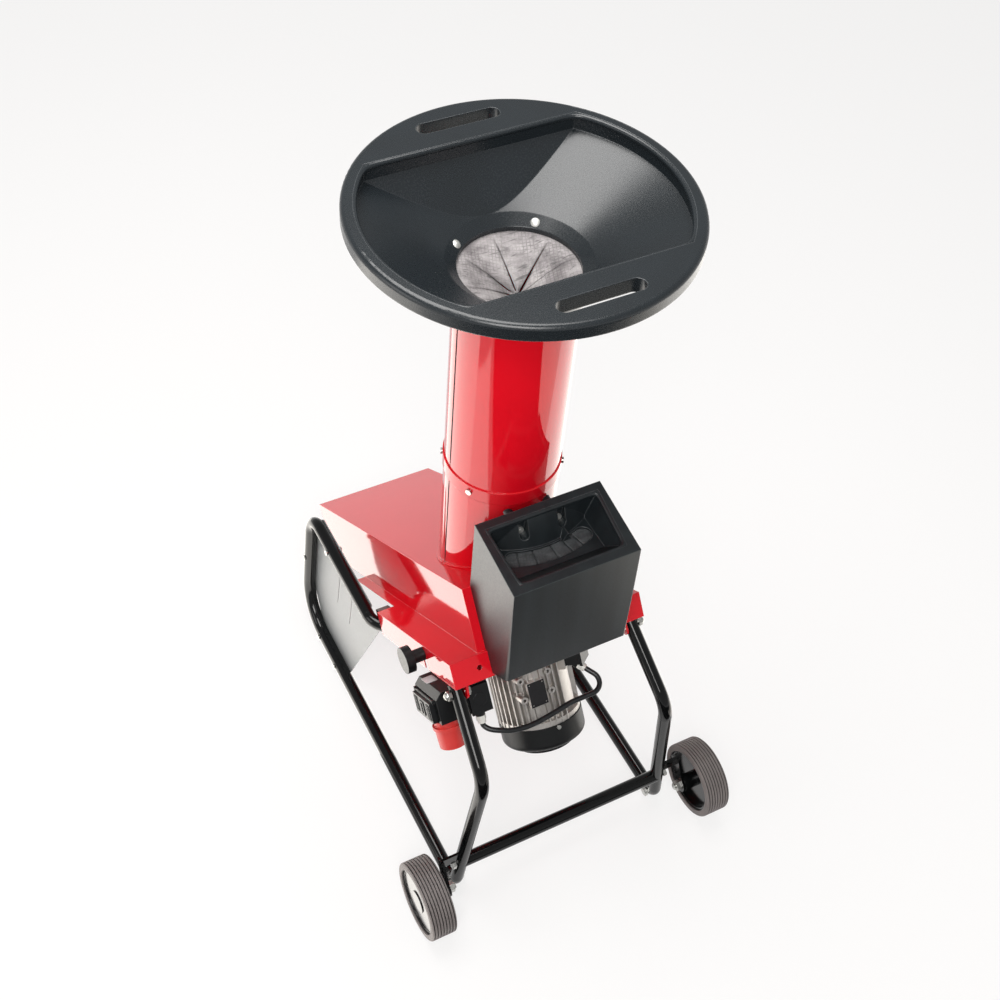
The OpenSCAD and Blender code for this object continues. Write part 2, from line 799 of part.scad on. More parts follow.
module switch_box() {
    color("black") on_tray() difference() {
        union() {
            translate([0, switch_l + switch_len, 0]) rotate([90, 0, 0]) linear_extrude(switch_len) polygon([
                [switch_out, switch_top - 12], [switch_out + 12, switch_top], [switch_in, switch_top],
                [switch_in, switch_low], [switch_out, switch_low]]);
            translate([switch_in - 41, switch_l - 7, switch_low - 3]) cube([40, 8, switch_h - 6]);
            translate([switch_in - 21, switch_l - 8, switch_low + 24]) rotate([-90, 0, 0])
                cylinder(h = 4, r = 13);
            for (s = [-1, 1]) translate([switch_out - 6, cover_mid + s * (cover_len / 2 + 3.2) - 2.5, switch_top - 20])
                cube([8, 5, 8]);
            translate([switch_in - 25, switch_l + 1, switch_low - 8]) cylinder(h = 9, r = 9);
        }
        translate([switch_out - 3, cover_mid, switch_top - 16]) rotate([90, 0, 0])
            cylinder(h = cover_len + 30, r = 1.55, center = true);
        for (y = [cover_mid - 16, cover_mid + 16]) translate([switch_out - 1, y, switch_low + 20])
            rotate([0, 90, 0]) cylinder(h = 14, r = 9.05);
        translate([switch_in - 25, switch_l + 1, switch_low - 20]) cylinder(h = 40, r = cable_d / 2 + 0.3);
        translate([inlet_x, inlet_l, switch_low - 1]) cylinder(h = 20, r = 22);
    }
}

module switch_cover() {
    low = switch_low + 3;
    high = switch_top - 18;
    color("lightgray") on_tray() difference() {
        union() {
            translate([switch_out - 11, cover_mid - cover_len / 2, low]) cube([11 - gap, cover_len, high - low]);
            translate([switch_out - 3, cover_mid, switch_top - 16]) rotate([90, 0, 0])
                cylinder(h = cover_len, r = 2.6, center = true);
            translate([switch_out - 3, cover_mid, switch_top - 16]) rotate([90, 0, 0])
                cylinder(h = cover_len + 10, r = 1.5, center = true);
            for (i = [0 : 5], s = [-1, 1])
                translate([switch_out - 12, cover_mid + s * (cover_len / 2 - 5 - 2.6 * i) - 0.6, low + 5])
                    cube([2, 1.2, high - low - 10]);
            translate([switch_out - 12.5, cover_mid - 8, low + 6]) cube([3, 16, high - low - 12]);
        }
        translate([switch_out - 9, cover_mid - cover_len / 2 + 2, low + 2])
            cube([12, cover_len - 4, high - low - 4]);
        translate([switch_out - 14, cover_mid - 4, low + 9]) cube([8, 8, high - low - 18]);
    }
}

module button(y) {
    on_tray() translate([switch_out - 6, y, switch_low + 20]) rotate([0, 90, 0]) cylinder(h = 14, r = 9);
}

module start_button() {
    color("green") button(cover_mid - 16);
}

module stop_button() {
    color("red") button(cover_mid + 16);
}

module switch_gland() {
    color("white") on_tray() translate([switch_in - 25, switch_l + 1, switch_low - 8.05])
        rotate([180, 0, 0]) gland_ring(cable_d / 2);
}

module power_inlet() {
    color("red") on_tray() translate([inlet_x, inlet_l, switch_low - 0.05]) rotate([180, 0, 0]) difference() {
        rotate_extrude() {
            translate([19, 0]) square([6, 14]);
            translate([19, 11]) square([10, 6]);
            polygon([[20.5, 16], [26.5, 16], [25, 54], [20.5, 54]]);
            translate([0, 4]) square([21, 8]);
        }
        for (i = [0 : 4]) rotate(72 * i) translate([12, 0, 3]) cylinder(h = 20, r = 2.55);
    }
}

module inlet_pins() {
    color("gold") on_tray() translate([inlet_x, inlet_l, switch_low - 0.05]) rotate([180, 0, 0])
        for (i = [0 : 4]) rotate(72 * i) translate([12, 0, 5]) cylinder(h = 36, r = 2.5);
}

// Cable swept along its route

function cable_dir(i) = let (n = len(cable_path),
    a = cable_path[max(i - 1, 0)], b = cable_path[min(i + 1, n - 1)]) (b - a) / norm(b - a);
function cable_ring(i) = let (d = cable_dir(i), s = cross(d, [0, 1, 0]), e = s / norm(s), f = cross(e, d))
    [for (k = [0 : 9]) cable_path[i] + cable_d / 2 * (cos(36 * k) * e + sin(36 * k) * f)];

module motor_cable() {
    n = len(cable_path);
    color("black") on_tray() polyhedron(
        points = [for (i = [0 : n - 1]) for (p = cable_ring(i)) p],
        faces = concat(
            [[for (k = [0 : 9]) k]],
            [for (i = [0 : n - 2]) for (k = [0 : 9])
                [10 * i + k, 10 * i + 10 + k, 10 * i + 10 + (k + 1) % 10, 10 * i + (k + 1) % 10]],
            [[for (k = [9 : -1 : 0]) 10 * (n - 1) + k]]));
}

// Rotor

module shaft() {
    color("silver") on_motor() translate([0, 0, fan_top - 16]) difference() {
        cylinder(h = disc_top - fan_top + 16, r = shaft_r);
        translate([0, 0, disc_top - fan_top - 14]) cylinder(h = 40, r = 5.05);
    }
}

module rotor_core() {
    color("gray") on_motor() translate([0, 0, frame_low + 42]) difference() {
        cylinder(h = motor_len - shield_t - 84, r = stator_r - 0.6);
        translate([0, 0, -1]) cylinder(h = motor_len, r = shaft_r + 0.02);
    }
}

module cooling_fan() {
    color("dimgray") on_motor() translate([0, 0, fan_top - 14]) difference() {
        union() {
            cylinder(h = 14, r = shaft_r + 5);
            cylinder(h = 3, r = motor_r - 22);
            for (a = [0 : 45 : 315]) rotate(a) translate([shaft_r + 3, -1.5, 0]) cube([motor_r - shaft_r - 26, 3, 13]);
        }
        translate([0, 0, -1]) cylinder(h = 20, r = shaft_r + 0.02);
    }
}

// Sites of the two blades, one each side of the shaft
module at_blades() {
    for (a = [20, 200]) rotate(a) children();
}

module cutter_disc() {
    color("dimgray") on_motor() difference() {
        union() {
            translate([0, 0, disc_low]) cylinder(h = disc_t, r = disc_r);
            translate([0, 0, 20]) cylinder(h = disc_low - 19, r = shaft_r + 16);
            for (a = [65 : 90 : 335]) rotate(a) translate([shaft_r + 14, -3, 20])
                cube([disc_r - shaft_r - 18, 6, disc_low - 19]);
        }
        translate([0, 0, 10]) cylinder(h = 80, r = shaft_r + 0.02);
        at_blades() translate([shaft_r + 20, -22, disc_low - 1]) cube([disc_r - shaft_r - 30, 16, disc_t + 2]);
        at_blades() for (x = [shaft_r + 34, disc_r - 24]) translate([x, 12, disc_low - 1])
            cylinder(h = 30, r = 4.05);
    }
}

module blades() {
    color("silver") on_motor() at_blades() translate([0, 0, disc_top + 0.05]) difference() {
        translate([shaft_r + 18, 0, 0]) rotate([90, 0, 90]) linear_extrude(disc_r - shaft_r - 26)
            polygon([[-8, 0], [32, 0], [32, blade_t], [2, blade_t]]);
        for (x = [shaft_r + 34, disc_r - 24]) translate([x, 12, -1]) cylinder(h = 30, r = 4.05);
    }
}

module cutter_bolts() {
    color("gray") on_motor() at_blades() for (x = [shaft_r + 34, disc_r - 24])
        translate([x, 12, blade_top + 0.1]) rotate([180, 0, 0]) hex_bolt(4, blade_t + disc_t);
    color("gray") on_motor() translate([0, 0, disc_top + 0.05]) {
        cylinder(h = 4, r = shaft_r + 10);
        translate([0, 0, 3]) cylinder(h = 9, r = 9, $fn = 6);
        translate([0, 0, -26]) cylinder(h = 27, r = 5);
    }
}

// Hood

module flange_outline() {
    translate([-flange_w / 2, 0]) square([flange_w, flange_len]);
    translate([-neck_w / 2, 0]) square([neck_w, neck_len]);
}

module hood() {
    color("red") on_tray() difference() {
        union() {
            translate([-hood_w / 2, hood_l, -sheet]) cube([hood_w, hood_end - hood_l, hood_h + sheet]);
            translate([0, 0, -sheet]) linear_extrude(sheet) flange_outline();
            for (s = [-1, 1]) translate([s * (flange_w - sheet) / 2 - sheet / 2, 0, -skirt_h])
                cube([sheet, flange_len, skirt_h - 1]);
            translate([-flange_w / 2, 0, -skirt_h]) cube([flange_w, sheet, skirt_h - 1]);
        }
        translate([-hood_w / 2 + sheet, hood_l + sheet, -sheet - 1])
            cube([hood_w - 2 * sheet, hood_end, hood_h + 1]);
        translate([0, tube_l, hood_h]) rotate([tilt, 0, 0]) cylinder(h = 400, r = tube_r + 0.05, center = true);
        translate([-hop_w / 2 + 26, 0, disc_top + 18]) cube([hop_w - 52, 20, hood_h - disc_top - 26]);
        translate([-flange_w / 2 - 5, knob_l - 7, -skirt_h - 1]) cube([10, 14, skirt_h + 1 + knob_h]);
        translate([-flange_w / 2 - 5, knob_l, knob_h]) rotate([0, 90, 0]) cylinder(h = 10, r = 7);
        translate([0, hinge_l, hinge_h]) rotate([0, 90, 0])
            cylinder(h = 2 * hood_w, r = hinge_r + 0.05, center = true);
        translate([-138, -5, -24]) rotate([-90, 0, 0]) cylinder(h = 10, r = 5);
    }
}

// Feed tube

module seam(low, high) {
    translate([-tube_r - 4, -1, low]) cube([4.8, 2, high - low]);
}

module screw_ring(r) {
    for (a = screw_turns) rotate(a) translate([tube_r - 20, 0, tube_split]) rotate([0, 90, 0])
        cylinder(h = 60, r = r);
}

module lower_tube() {
    color("red") difference() {
        union() {
            on_tube() translate([0, 0, 400]) cylinder(h = tube_split + 10 - 400, r = tube_r);
            intersection() {
                on_tube() translate([0, 0, 400]) cylinder(h = 400, r = tube_r + 4);
                on_tray() translate([-200, -50, hood_h + 0.05]) cube([400, 500, 4]);
            }
        }
        on_tube() translate([0, 0, 390]) cylinder(h = 500, r = tube_r - tube_wall);
        on_tray() translate([-200, -100, -400]) cube([400, 900, 400 + hood_h - 10]);
        on_tube() screw_ring(2.55);
        on_floor() hopper_screw_lines(2.55);
        on_tube() difference() {
            seam(tray_z, tube_split + 20);
        }
    }
}

module upper_tube() {
    socket = tube_split - socket_h / 2;
    color("red") on_tube() difference() {
        union() {
            translate([0, 0, socket]) cylinder(h = socket_h, r = tube_r + 0.2 + tube_wall);
            translate([0, 0, socket]) cylinder(h = tube_top - socket, r = tube_r);
        }
        translate([0, 0, socket - 1]) cylinder(h = tube_top, r = tube_r - tube_wall);
        translate([0, 0, socket - 1]) cylinder(h = socket_h - 2, r = tube_r + 0.2);
        screw_ring(2.55);
        seam(socket + socket_h, tube_top - 30);
    }
}

module tube_screws() {
    color("silver") on_tube() for (a = screw_turns) rotate(a)
        translate([tube_r + 0.25 + tube_wall, 0, tube_split]) rotate([0, 90, 0]) {
            translate([0, 0, -7]) cylinder(h = 8, r = 2.5);
            cylinder(h = 3.5, r = 5.5);
        }
}

// Funnel: a round pocket cut by two straight lands, then a cone with flat faces

module pocket(g) {
    intersection() {
        translate([0, 0, step_z]) cylinder(h = rim_top - step_z + 1, r = pocket_r + g);
        translate([-rim_r, -land_gap / 2 - g, step_z]) cube([rim_d, land_gap + 2 * g, 50]);
    }
    intersection() {
        translate([0, 0, ring_z]) cylinder(h = step_z - ring_z, r1 = ring_r + g, r2 = pocket_r + g);
        across() linear_extrude(2 * rim_d, center = true) polygon([
            [-ring_r - g, ring_z], [ring_r + g, ring_z],
            [land_gap / 2 + g, step_z], [-land_gap / 2 - g, step_z]]);
    }
}

module grip(s, g) {
    y = s * (land_gap / 2 + rim_r) / 2;
    for (x = [-1, 1]) translate([x * (grip_len / 2 - 13), y]) circle(13 + g);
    translate([-grip_len / 2 + 13, y - 13 - g]) square([grip_len - 26, 26 + 2 * g]);
}

module rim() {
    difference() {
        translate([0, 0, rim_top - rim_skirt]) rotate_extrude() {
            square([rim_r, rim_skirt - 8]);
            square([rim_r - 8, rim_skirt]);
            intersection() {
                translate([rim_r - 8, rim_skirt - 8]) circle(8);
                square([rim_r, rim_skirt]);
            }
        }
        translate([0, 0, rim_top - rim_skirt - 1]) cylinder(h = rim_skirt + 1 - funnel_t, r = rim_r - funnel_t);
    }
}

module funnel() {
    low = tube_top - 24;
    color("dimgray") on_tube() difference() {
        union() {
            rim();
            translate([0, 0, -funnel_t]) pocket(funnel_t);
            translate([0, 0, low]) cylinder(h = ring_z - low, r1 = tube_r + 6, r2 = ring_r + funnel_t);
            for (s = [-1, 1]) translate([0, 0, rim_top - rim_skirt]) linear_extrude(rim_skirt - 1) grip(s, 3);
        }
        pocket(0);
        translate([0, 0, low - 1]) cylinder(h = 80, r = throat_r);
        translate([0, 0, seat_z - 1]) cylinder(h = ring_z - seat_z + 1, r1 = throat_r - band_slope, r2 = ring_r);
        translate([0, 0, low - 1]) cylinder(h = tube_top + 4 - low + 1, r = tube_r + gap);
        for (s = [-1, 1]) translate([0, 0, rim_top - 50]) linear_extrude(60) grip(s, 0);
        at_ring_screws() translate([0, 0, -10]) cylinder(h = 20, r = 2.05);
    }
}

// Sites of the funnel screws, Z square to the band
module at_ring_screws() {
    for (a = ring_turns) rotate(a) translate([ring_screw_r, 0, ring_screw_z])
        rotate([0, -atan(1 / band_slope), 0]) children();
}

// Rubber disc slit into petals that sag into the tube
module funnel_flap() {
    color("gray") on_tube() translate([0, 0, flap_z]) difference() {
        rotate_extrude() polygon([[8, -flap_sag], [tube_r - 13, 0], [tube_r, 0], [tube_r, 3.6],
            [tube_r - 14, 3.6], [8, 4.5 - flap_sag]]);
        for (a = [-3, 31, 90, 137, 183, 226, 268, 314]) rotate(a) translate([6, -0.6, -flap_sag - 8])
            cube([tube_r - 28, 1.2, flap_sag + 20]);
    }
}

module funnel_screws() {
    color("silver") on_tube() at_ring_screws() translate([0, 0, 0.25]) {
        intersection() {
            translate([0, 0, -8]) sphere(11);
            cylinder(h = 6, r = 7.2);
        }
        translate([0, 0, -8]) cylinder(h = 9, r = 2);
    }
}

// Side hopper, profiles drawn in [y, z]

hop_profile = [
    [hop_back, hop_top], [hop_front, hop_top - 24], at_l(-62, -40), at_l(-0.5, -42),
    at_l(-0.5, 0.5), at_l(hood_l - gap, 0.5), at_l(hood_l - gap, hood_h + 1),
    [hop_back, at_l(hood_l - gap, hood_h + 1)[1] + 4]];
hop_inner = [
    [hop_back - hop_wall, shelf_z - hop_wall], [hop_front + hop_wall - 1, shelf_z - hop_wall],
    at_l(-62 + hop_wall, -35), at_l(-3, -37), at_l(hood_l + 4, 6), at_l(hood_l + 4, hood_h - 6),
    [hop_back - hop_wall, at_l(hood_l, hood_h)[1]]];

module hopper_block() {
    intersection() {
        across() linear_extrude(hop_w, center = true) polygon(hop_profile);
        translate([0, 0, 400]) linear_extrude(500) {
            translate([-hop_w / 2, hop_front]) square([hop_w, hop_depth + 60]);
            translate([-hop_w / 2 + 8, hop_front - 60]) square([hop_w - 16, hop_depth]);
            for (s = [-1, 1]) translate([s * (hop_w / 2 - 8), hop_front]) circle(8);
        }
    }
}

module feed_slot(g) {
    mid = (slot_in + slot_out) / 2;
    reach = 2 * slot_out;
    translate([0, tube_y]) {
        intersection() {
            difference() {
                circle(slot_out + g);
                circle(slot_in - g);
            }
            polygon([[0, 0], [-reach * sin(slot_turn), -reach * cos(slot_turn)],
                [reach * sin(slot_turn), -reach * cos(slot_turn)]]);
        }
        for (s = [-1, 1]) translate([s * mid * sin(slot_turn), -mid * cos(slot_turn)])
            circle((slot_out - slot_in) / 2 + g);
    }
}

// Pocket with sloping walls, its rear wall bulging round the feed tube
module hopper_pocket() {
    back = hop_back - 14;
    high = hop_top + 20;
    rise = high - shelf_z;
    foot = hop_w / 2 - 32;
    lean = 18 / 52;
    fall = 39.5 / 40;
    cone = 24 / 52;
    difference() {
        intersection() {
            across() linear_extrude(hop_w, center = true) polygon([
                [pocket_foot, shelf_z], [back, shelf_z], [back, high], [pocket_foot - fall * rise, high]]);
            translate([0, back + 1, 0]) rotate([90, 0, 0]) linear_extrude(back - hop_front + 60) polygon([
                [-foot, shelf_z], [foot, shelf_z], [foot + lean * rise, high], [-foot - lean * rise, high]]);
        }
        translate([0, tube_y, shelf_z - 1])
            cylinder(h = rise + 2, r1 = bulge_r + cone, r2 = bulge_r - cone * (rise + 1));
    }
}

// Hollows behind the sloping walls
module hopper_hollows() {
    low = shelf_z - hop_wall - 1;
    side = hop_w / 2;
    across() linear_extrude(hop_w - 2 * hop_wall, center = true) polygon([
        [hop_front + hop_wall, low], [pocket_foot - 2, low], [pocket_foot - 37, low + 35],
        [hop_front + hop_wall, low + 35]]);
    for (s = [-1, 1]) mirror([s < 0 ? 1 : 0, 0, 0]) translate([0, hop_back - hop_wall, 0]) rotate([90, 0, 0])
        linear_extrude(hop_depth - 2 * hop_wall) polygon([
            [side - 26.5, low], [side - hop_wall, low], [side - hop_wall, low + 35], [side - 16.5, low + 35]]);
}

// Upright recesses for the screws, sunk into the bulge
module screw_slots() {
    deep = screw_face - tube_y + bulge_r - 8;
    for (s = [-1, 1]) translate([s * screw_x, screw_face, 0]) rotate([90, 0, 0]) linear_extrude(deep) {
        for (z = [screw_z + 2, hop_top - 16]) translate([0, z]) circle(8);
        translate([-8, screw_z + 2]) square([16, hop_top - 18 - screw_z]);
    }
}

module hopper_screw_lines(r) {
    for (s = [-1, 1]) translate([s * screw_x, screw_face - 1, screw_z]) rotate([-90, 0, 0])
        cylinder(h = 56, r = r);
}

module side_hopper() {
    color("dimgray") on_floor() difference() {
        union() {
            difference() {
                hopper_block();
                hopper_pocket();
                hopper_hollows();
                translate([0, 0, shelf_z - 20]) linear_extrude(40) feed_slot(0);
                across() linear_extrude(hop_w - 2 * hop_wall, center = true) polygon(hop_inner);
            }
            intersection() {
                across() linear_extrude(hop_w - 2, center = true) polygon([
                    at_l(hood_l - gap, disc_top + 16), at_l(hood_l - gap, disc_top + 13),
                    [hop_front + 2, tray_z + 112], [hop_front + 2, tray_z + 116]]);
                hopper_block();
            }
            for (s = [-1, 1]) translate([s * screw_x, hop_back - 2, screw_z]) rotate([-90, 0, 0])
                cylinder(h = 40, r = 8);
            translate([screw_x - 1, tube_y - bulge_r + 8, shelf_z]) rotate([90, 0, 0]) linear_extrude(15)
                polygon([[-8, -1], [8, -1], [1, 17]]);
        }
        screw_slots();
        hopper_screw_lines(2.55);
        translate([0, tube_y, 500]) cylinder(h = 400, r = tube_r + tube_wall + 0.3);
    }
}

module hopper_flap() {
    color("dimgray") on_floor() translate([0, 0, shelf_z - hop_wall - 2.1]) linear_extrude(2) difference() {
        feed_slot(5);
        for (a = [-18, -9, 2, 10, 17]) translate([0, tube_y]) rotate(a - 90) translate([slot_in, -0.5])
            square([slot_out - slot_in, 1]);
    }
}

module hopper_screws() {
    color("silver") on_floor() for (s = [-1, 1])
        translate([s * screw_x, screw_face - 0.05, screw_z]) rotate([-90, 0, 0]) {
            translate([0, 0, -4]) cylinder(h = 4, r = 6);
            cylinder(h = 54, r = 2.5);
        }
}

module lock_knob() {
    face = flange_w / 2 + gap;
    color("black") on_tray() translate([0, knob_l, knob_h]) rotate([0, -90, 0]) {
        translate([0, 0, face]) cylinder(h = 26, r = 12.5);
        translate([0, 0, face + 24]) cylinder(h = 16, r = 25);
        translate([0, 0, flange_w / 2 - 14]) cylinder(h = 20, r = stud_r);
    }
}

left_frame();
right_frame();
pipe_caps();
cross_tube();
cross_bolts();
heel_bolts();
left_bracket();
right_bracket();
axle_bolts();
left_guard();
right_guard();
guard_screws();
base_plate();
leg_bolts();
saddles();
saddle_bolts();
hinge_bolts();
motor_body();
front_shield();
rear_shield();
stator();
bearings();
fan_cowl();
motor_bolts();
rating_plate();
terminal_box();
terminal_lid();
motor_gland();
switch_box();
switch_gland();
power_inlet();
inlet_pins();
motor_cable();
left_tyre();
left_hub();
left_cap();
right_tyre();
right_hub();
right_cap();
shaft();
rotor_core();
cooling_fan();
cutter_disc();
blades();
cutter_bolts();
hood();
lower_tube();
upper_tube();
tube_screws();
funnel();
funnel_flap();
funnel_screws();
side_hopper();
hopper_flap();
hopper_screws();
lock_knob();
switch_cover();
start_button();
stop_button();
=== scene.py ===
import bpy
import bmesh
import math
from mathutils import Vector, Matrix


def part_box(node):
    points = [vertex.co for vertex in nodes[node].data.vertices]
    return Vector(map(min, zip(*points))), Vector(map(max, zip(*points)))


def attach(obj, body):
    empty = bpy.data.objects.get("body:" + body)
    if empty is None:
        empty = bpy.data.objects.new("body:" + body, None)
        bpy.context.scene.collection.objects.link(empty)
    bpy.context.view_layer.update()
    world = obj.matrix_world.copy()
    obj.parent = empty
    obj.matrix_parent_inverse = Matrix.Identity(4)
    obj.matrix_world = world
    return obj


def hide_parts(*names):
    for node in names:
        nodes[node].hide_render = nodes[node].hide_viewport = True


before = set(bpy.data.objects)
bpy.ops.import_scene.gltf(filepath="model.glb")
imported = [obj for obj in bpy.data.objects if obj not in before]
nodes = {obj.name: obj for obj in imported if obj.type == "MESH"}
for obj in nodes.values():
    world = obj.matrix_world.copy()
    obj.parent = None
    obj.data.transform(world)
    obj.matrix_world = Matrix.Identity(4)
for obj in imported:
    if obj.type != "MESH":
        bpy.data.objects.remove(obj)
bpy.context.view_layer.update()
print("frame loaded,", len(nodes), "nodes")


def keep(name, data):
    item = bpy.data.objects.new(name, data)
    bpy.context.scene.collection.objects.link(item)
    return item


# camera, solved from the straight edges in the photo: metres, mm for lens and sensor, degrees
shot = {"place": (-0.8667, -1.464889, 2.5703), "lens": 51.27, "sensor": 36, "sight": 60,
        "turn": 31.5, "down": 48.75, "roll": -5.474}


def setCamera(s):
    turn, down, roll = (math.radians(s[k]) for k in ("turn", "down", "roll"))
    side = Vector((math.cos(turn), -math.sin(turn), 0))
    ahead = Vector((math.sin(turn) * math.cos(down), math.cos(turn) * math.cos(down), -math.sin(down)))
    above = side.cross(ahead)
    right = math.cos(roll) * side - math.sin(roll) * above
    up = math.sin(roll) * side + math.cos(roll) * above
    data = bpy.data.cameras.new("shotCamera")
    data.lens = s["lens"]
    data.sensor_width = s["sensor"]
    data.clip_end = s["sight"]
    cam = keep("shotCamera", data)
    cam.matrix_world = Matrix.Translation(s["place"]) @ Matrix((right, up, -ahead)).transposed().to_4x4()
    bpy.context.scene.camera = cam


setCamera(shot)

# places in mm that several pieces share
axleY = -418.689                                            # the wheels' axle
tubeMiddle = (0, 375.5 + axleY)                             # the feed tube's axis
tray = {"tilt": 35.8, "y": 170.5 + axleY, "z": 543.3}       # top edge of the sloping tray
tiltSin = math.sin(math.radians(tray["tilt"]))
tiltCos = math.cos(math.radians(tray["tilt"]))


# the tray's own frame: across, down its slope and square above it, from mm to metres
def onTray(across, down, above):
    y = tray["y"] + down * tiltCos + above * tiltSin
    z = tray["z"] - down * tiltSin + above * tiltCos
    return Vector((across, y, z)) / 1000


# a point round the feed tube's axis, from mm and radians to metres
def roundTube(r, a, z):
    return Vector((tubeMiddle[0] + r * math.cos(a), tubeMiddle[1] + r * math.sin(a), z)) / 1000


def keepMesh(name, bm, smooth=True):
    mesh = bpy.data.meshes.new(name)
    bm.to_mesh(mesh)
    bm.free()
    if smooth:
        mesh.shade_smooth()
    return keep(name, mesh)


# faces between rows of points; a ring also joins the last point of a row to its first
def skin(bm, rows, ring):
    for here, there in zip(rows, rows[1:]):
        for k in range(len(here) if ring else len(here) - 1):
            j = (k + 1) % len(here)
            bm.faces.new((here[k], there[k], there[j], here[j]))


# motor lead: leaves the switch box gland, hangs under the motor, goes back up into the motor gland; mm
motorLead = {
    "thick": 10, "steps": 6, "facets": 6,
    "route": [(-140, 54, -130), (-140, 54, -149), (-138, 52, -157), (-130, 46, -164), (-116, 41, -170),
              (-96, 37, -177), (-70, 36, -181), (-45, 36, -181), (-20, 36, -178), (5, 36, -174),
              (30, 36, -170), (55, 34, -168.5), (74.2, 32.4, -167.3), (79.6, 32.4, -166.4),
              (84.7, 33.2, -164.2), (89, 34.8, -161.1), (92.2, 37.1, -157.2), (94, 39.9, -152.7),
              (94.4, 43, -148.1), (93.3, 46.2, -143.7), (90.8, 49.2, -139.8), (85.8, 53.8, -134.1),
              (81.8, 57.4, -129.6), (72.7, 65.6, -119.3)],
}


def smoothRoute(points, steps):
    out = []
    for i in range(len(points) - 1):
        a, b = points[i], points[i + 1]
        before = points[i - 1] if i else a + (a - b)
        after = points[i + 2] if i + 2 < len(points) else b + (b - a)
        for k in range(steps):
            t = k / steps
            out.append(0.5 * (2 * a + (b - before) * t + (2 * before - 5 * a + 4 * b - after) * t * t
                              + (3 * a - before - 3 * b + after) * t ** 3))
    return out + [points[-1]]


def makeMotorLead(s):
    line = smoothRoute([onTray(*p) for p in s["route"]], s["steps"])
    data = bpy.data.curves.new("motorLead", "CURVE")
    data.dimensions = "3D"
    data.bevel_depth = 1                    # the points carry the real radius, so that the bounds are right
    data.bevel_resolution = s["facets"]
    data.use_fill_caps = True
    spline = data.splines.new("POLY")
    spline.points.add(len(line) - 1)
    for point, place in zip(spline.points, line):
        point.co = (*place, 1)
        point.radius = s["thick"] / 2000
    spline.use_smooth = True
    piece = keep("motorLead", data)
    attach(piece, "chassis")
    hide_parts("motor_cable")
    return piece


motorLeadPiece = makeMotorLead(motorLead)


# a rubber sheet gets its thickness below the faces, which look up
def keepSheet(name, bm, thick):
    bmesh.ops.recalc_face_normals(bm, faces=bm.faces)
    if sum(f.normal.z for f in bm.faces) < 0:
        bmesh.ops.reverse_faces(bm, faces=bm.faces)
    piece = keepMesh(name, bm)
    solid = piece.modifiers.new("thickness", "SOLIDIFY")
    solid.thickness = thick / 1000
    solid.offset = -1
    return piece


# slit rubber in the funnel's throat: petals cut from one disc, sagging into the tube; mm and degrees
throatRubber = {"top": 1193.8, "radius": 99.5, "thick": 3.2, "rimWidth": 12, "tip": 1.2,
                "cuts": (-3, 31, 90, 137, 183, 226, 268, 314), "cutEnd": 76, "gap": 1.0, "weld": 0.05,
                "sag": 52, "sagCurve": 1.25, "sagLeast": 0.88, "sagStep": 0.05, "crown": 5, "twist": 3.5,
                "rings": 22, "column": 4}


def makeThroatRubber(s):
    bm = bmesh.new()
    cuts = sorted(a % 360 for a in s["cuts"])
    free = s["radius"] - s["rimWidth"]          # the clamped rim stays flat
    for n, start in enumerate(cuts):
        end = cuts[(n + 1) % len(cuts)]
        end += 360 if end <= start else 0
        wide = max(6, round((end - start) / s["column"]))
        droop = s["sag"] * (s["sagLeast"] + s["sagStep"] * ((n * 5) % 4))       # no two neighbours hang alike
        rows = []
        for i in range(s["rings"] + 1):
            t = i / s["rings"]
            r = s["radius"] * (1 - t) + s["tip"] * t
            loose = max(0, s["cutEnd"] - r) / s["cutEnd"]
            deep = max(0, free - r) / free
            row = []
            for k in range(wide + 1):
                across = k / wide
                a = math.radians(start + (end - start) * across)
                lean = across if n % 2 else 1 - across
                curl = loose * (s["crown"] * math.sin(math.pi * across) - s["twist"] * lean)
                spot = roundTube(r, a, s["top"] - droop * deep ** s["sagCurve"] + curl)
                if loose:                       # pull the petal's edges back from the cut
                    pull = s["gap"] / 2000 * ((k == 0) - (k == wide))
                    spot += pull * Vector((-math.sin(a), math.cos(a), 0))
                row.append(bm.verts.new(spot))
            rows.append(row)
        skin(bm, rows, False)
    bmesh.ops.remove_doubles(bm, verts=bm.verts, dist=s["weld"] / 1000)
    piece = keepSheet("throatRubber", bm, s["thick"])
    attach(piece, "hood")
    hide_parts("funnel_flap")
    return piece


throatRubberPiece = makeThroatRubber(throatRubber)

# rubber strip under the side hopper's curved mouth, cut into tongues that have taken a set; mm and degrees
mouthRubber = {"inner": 169, "outer": 209, "half": 26.5, "thick": 3.0, "cuts": (-18, -9, 2, 10, 17),
               "pinch": 0.12, "low": 0.4, "sag": 4, "sagLeast": 0.35, "sagStep": 0.2, "crown": 0.7,
               "rings": 10, "column": 1.2}


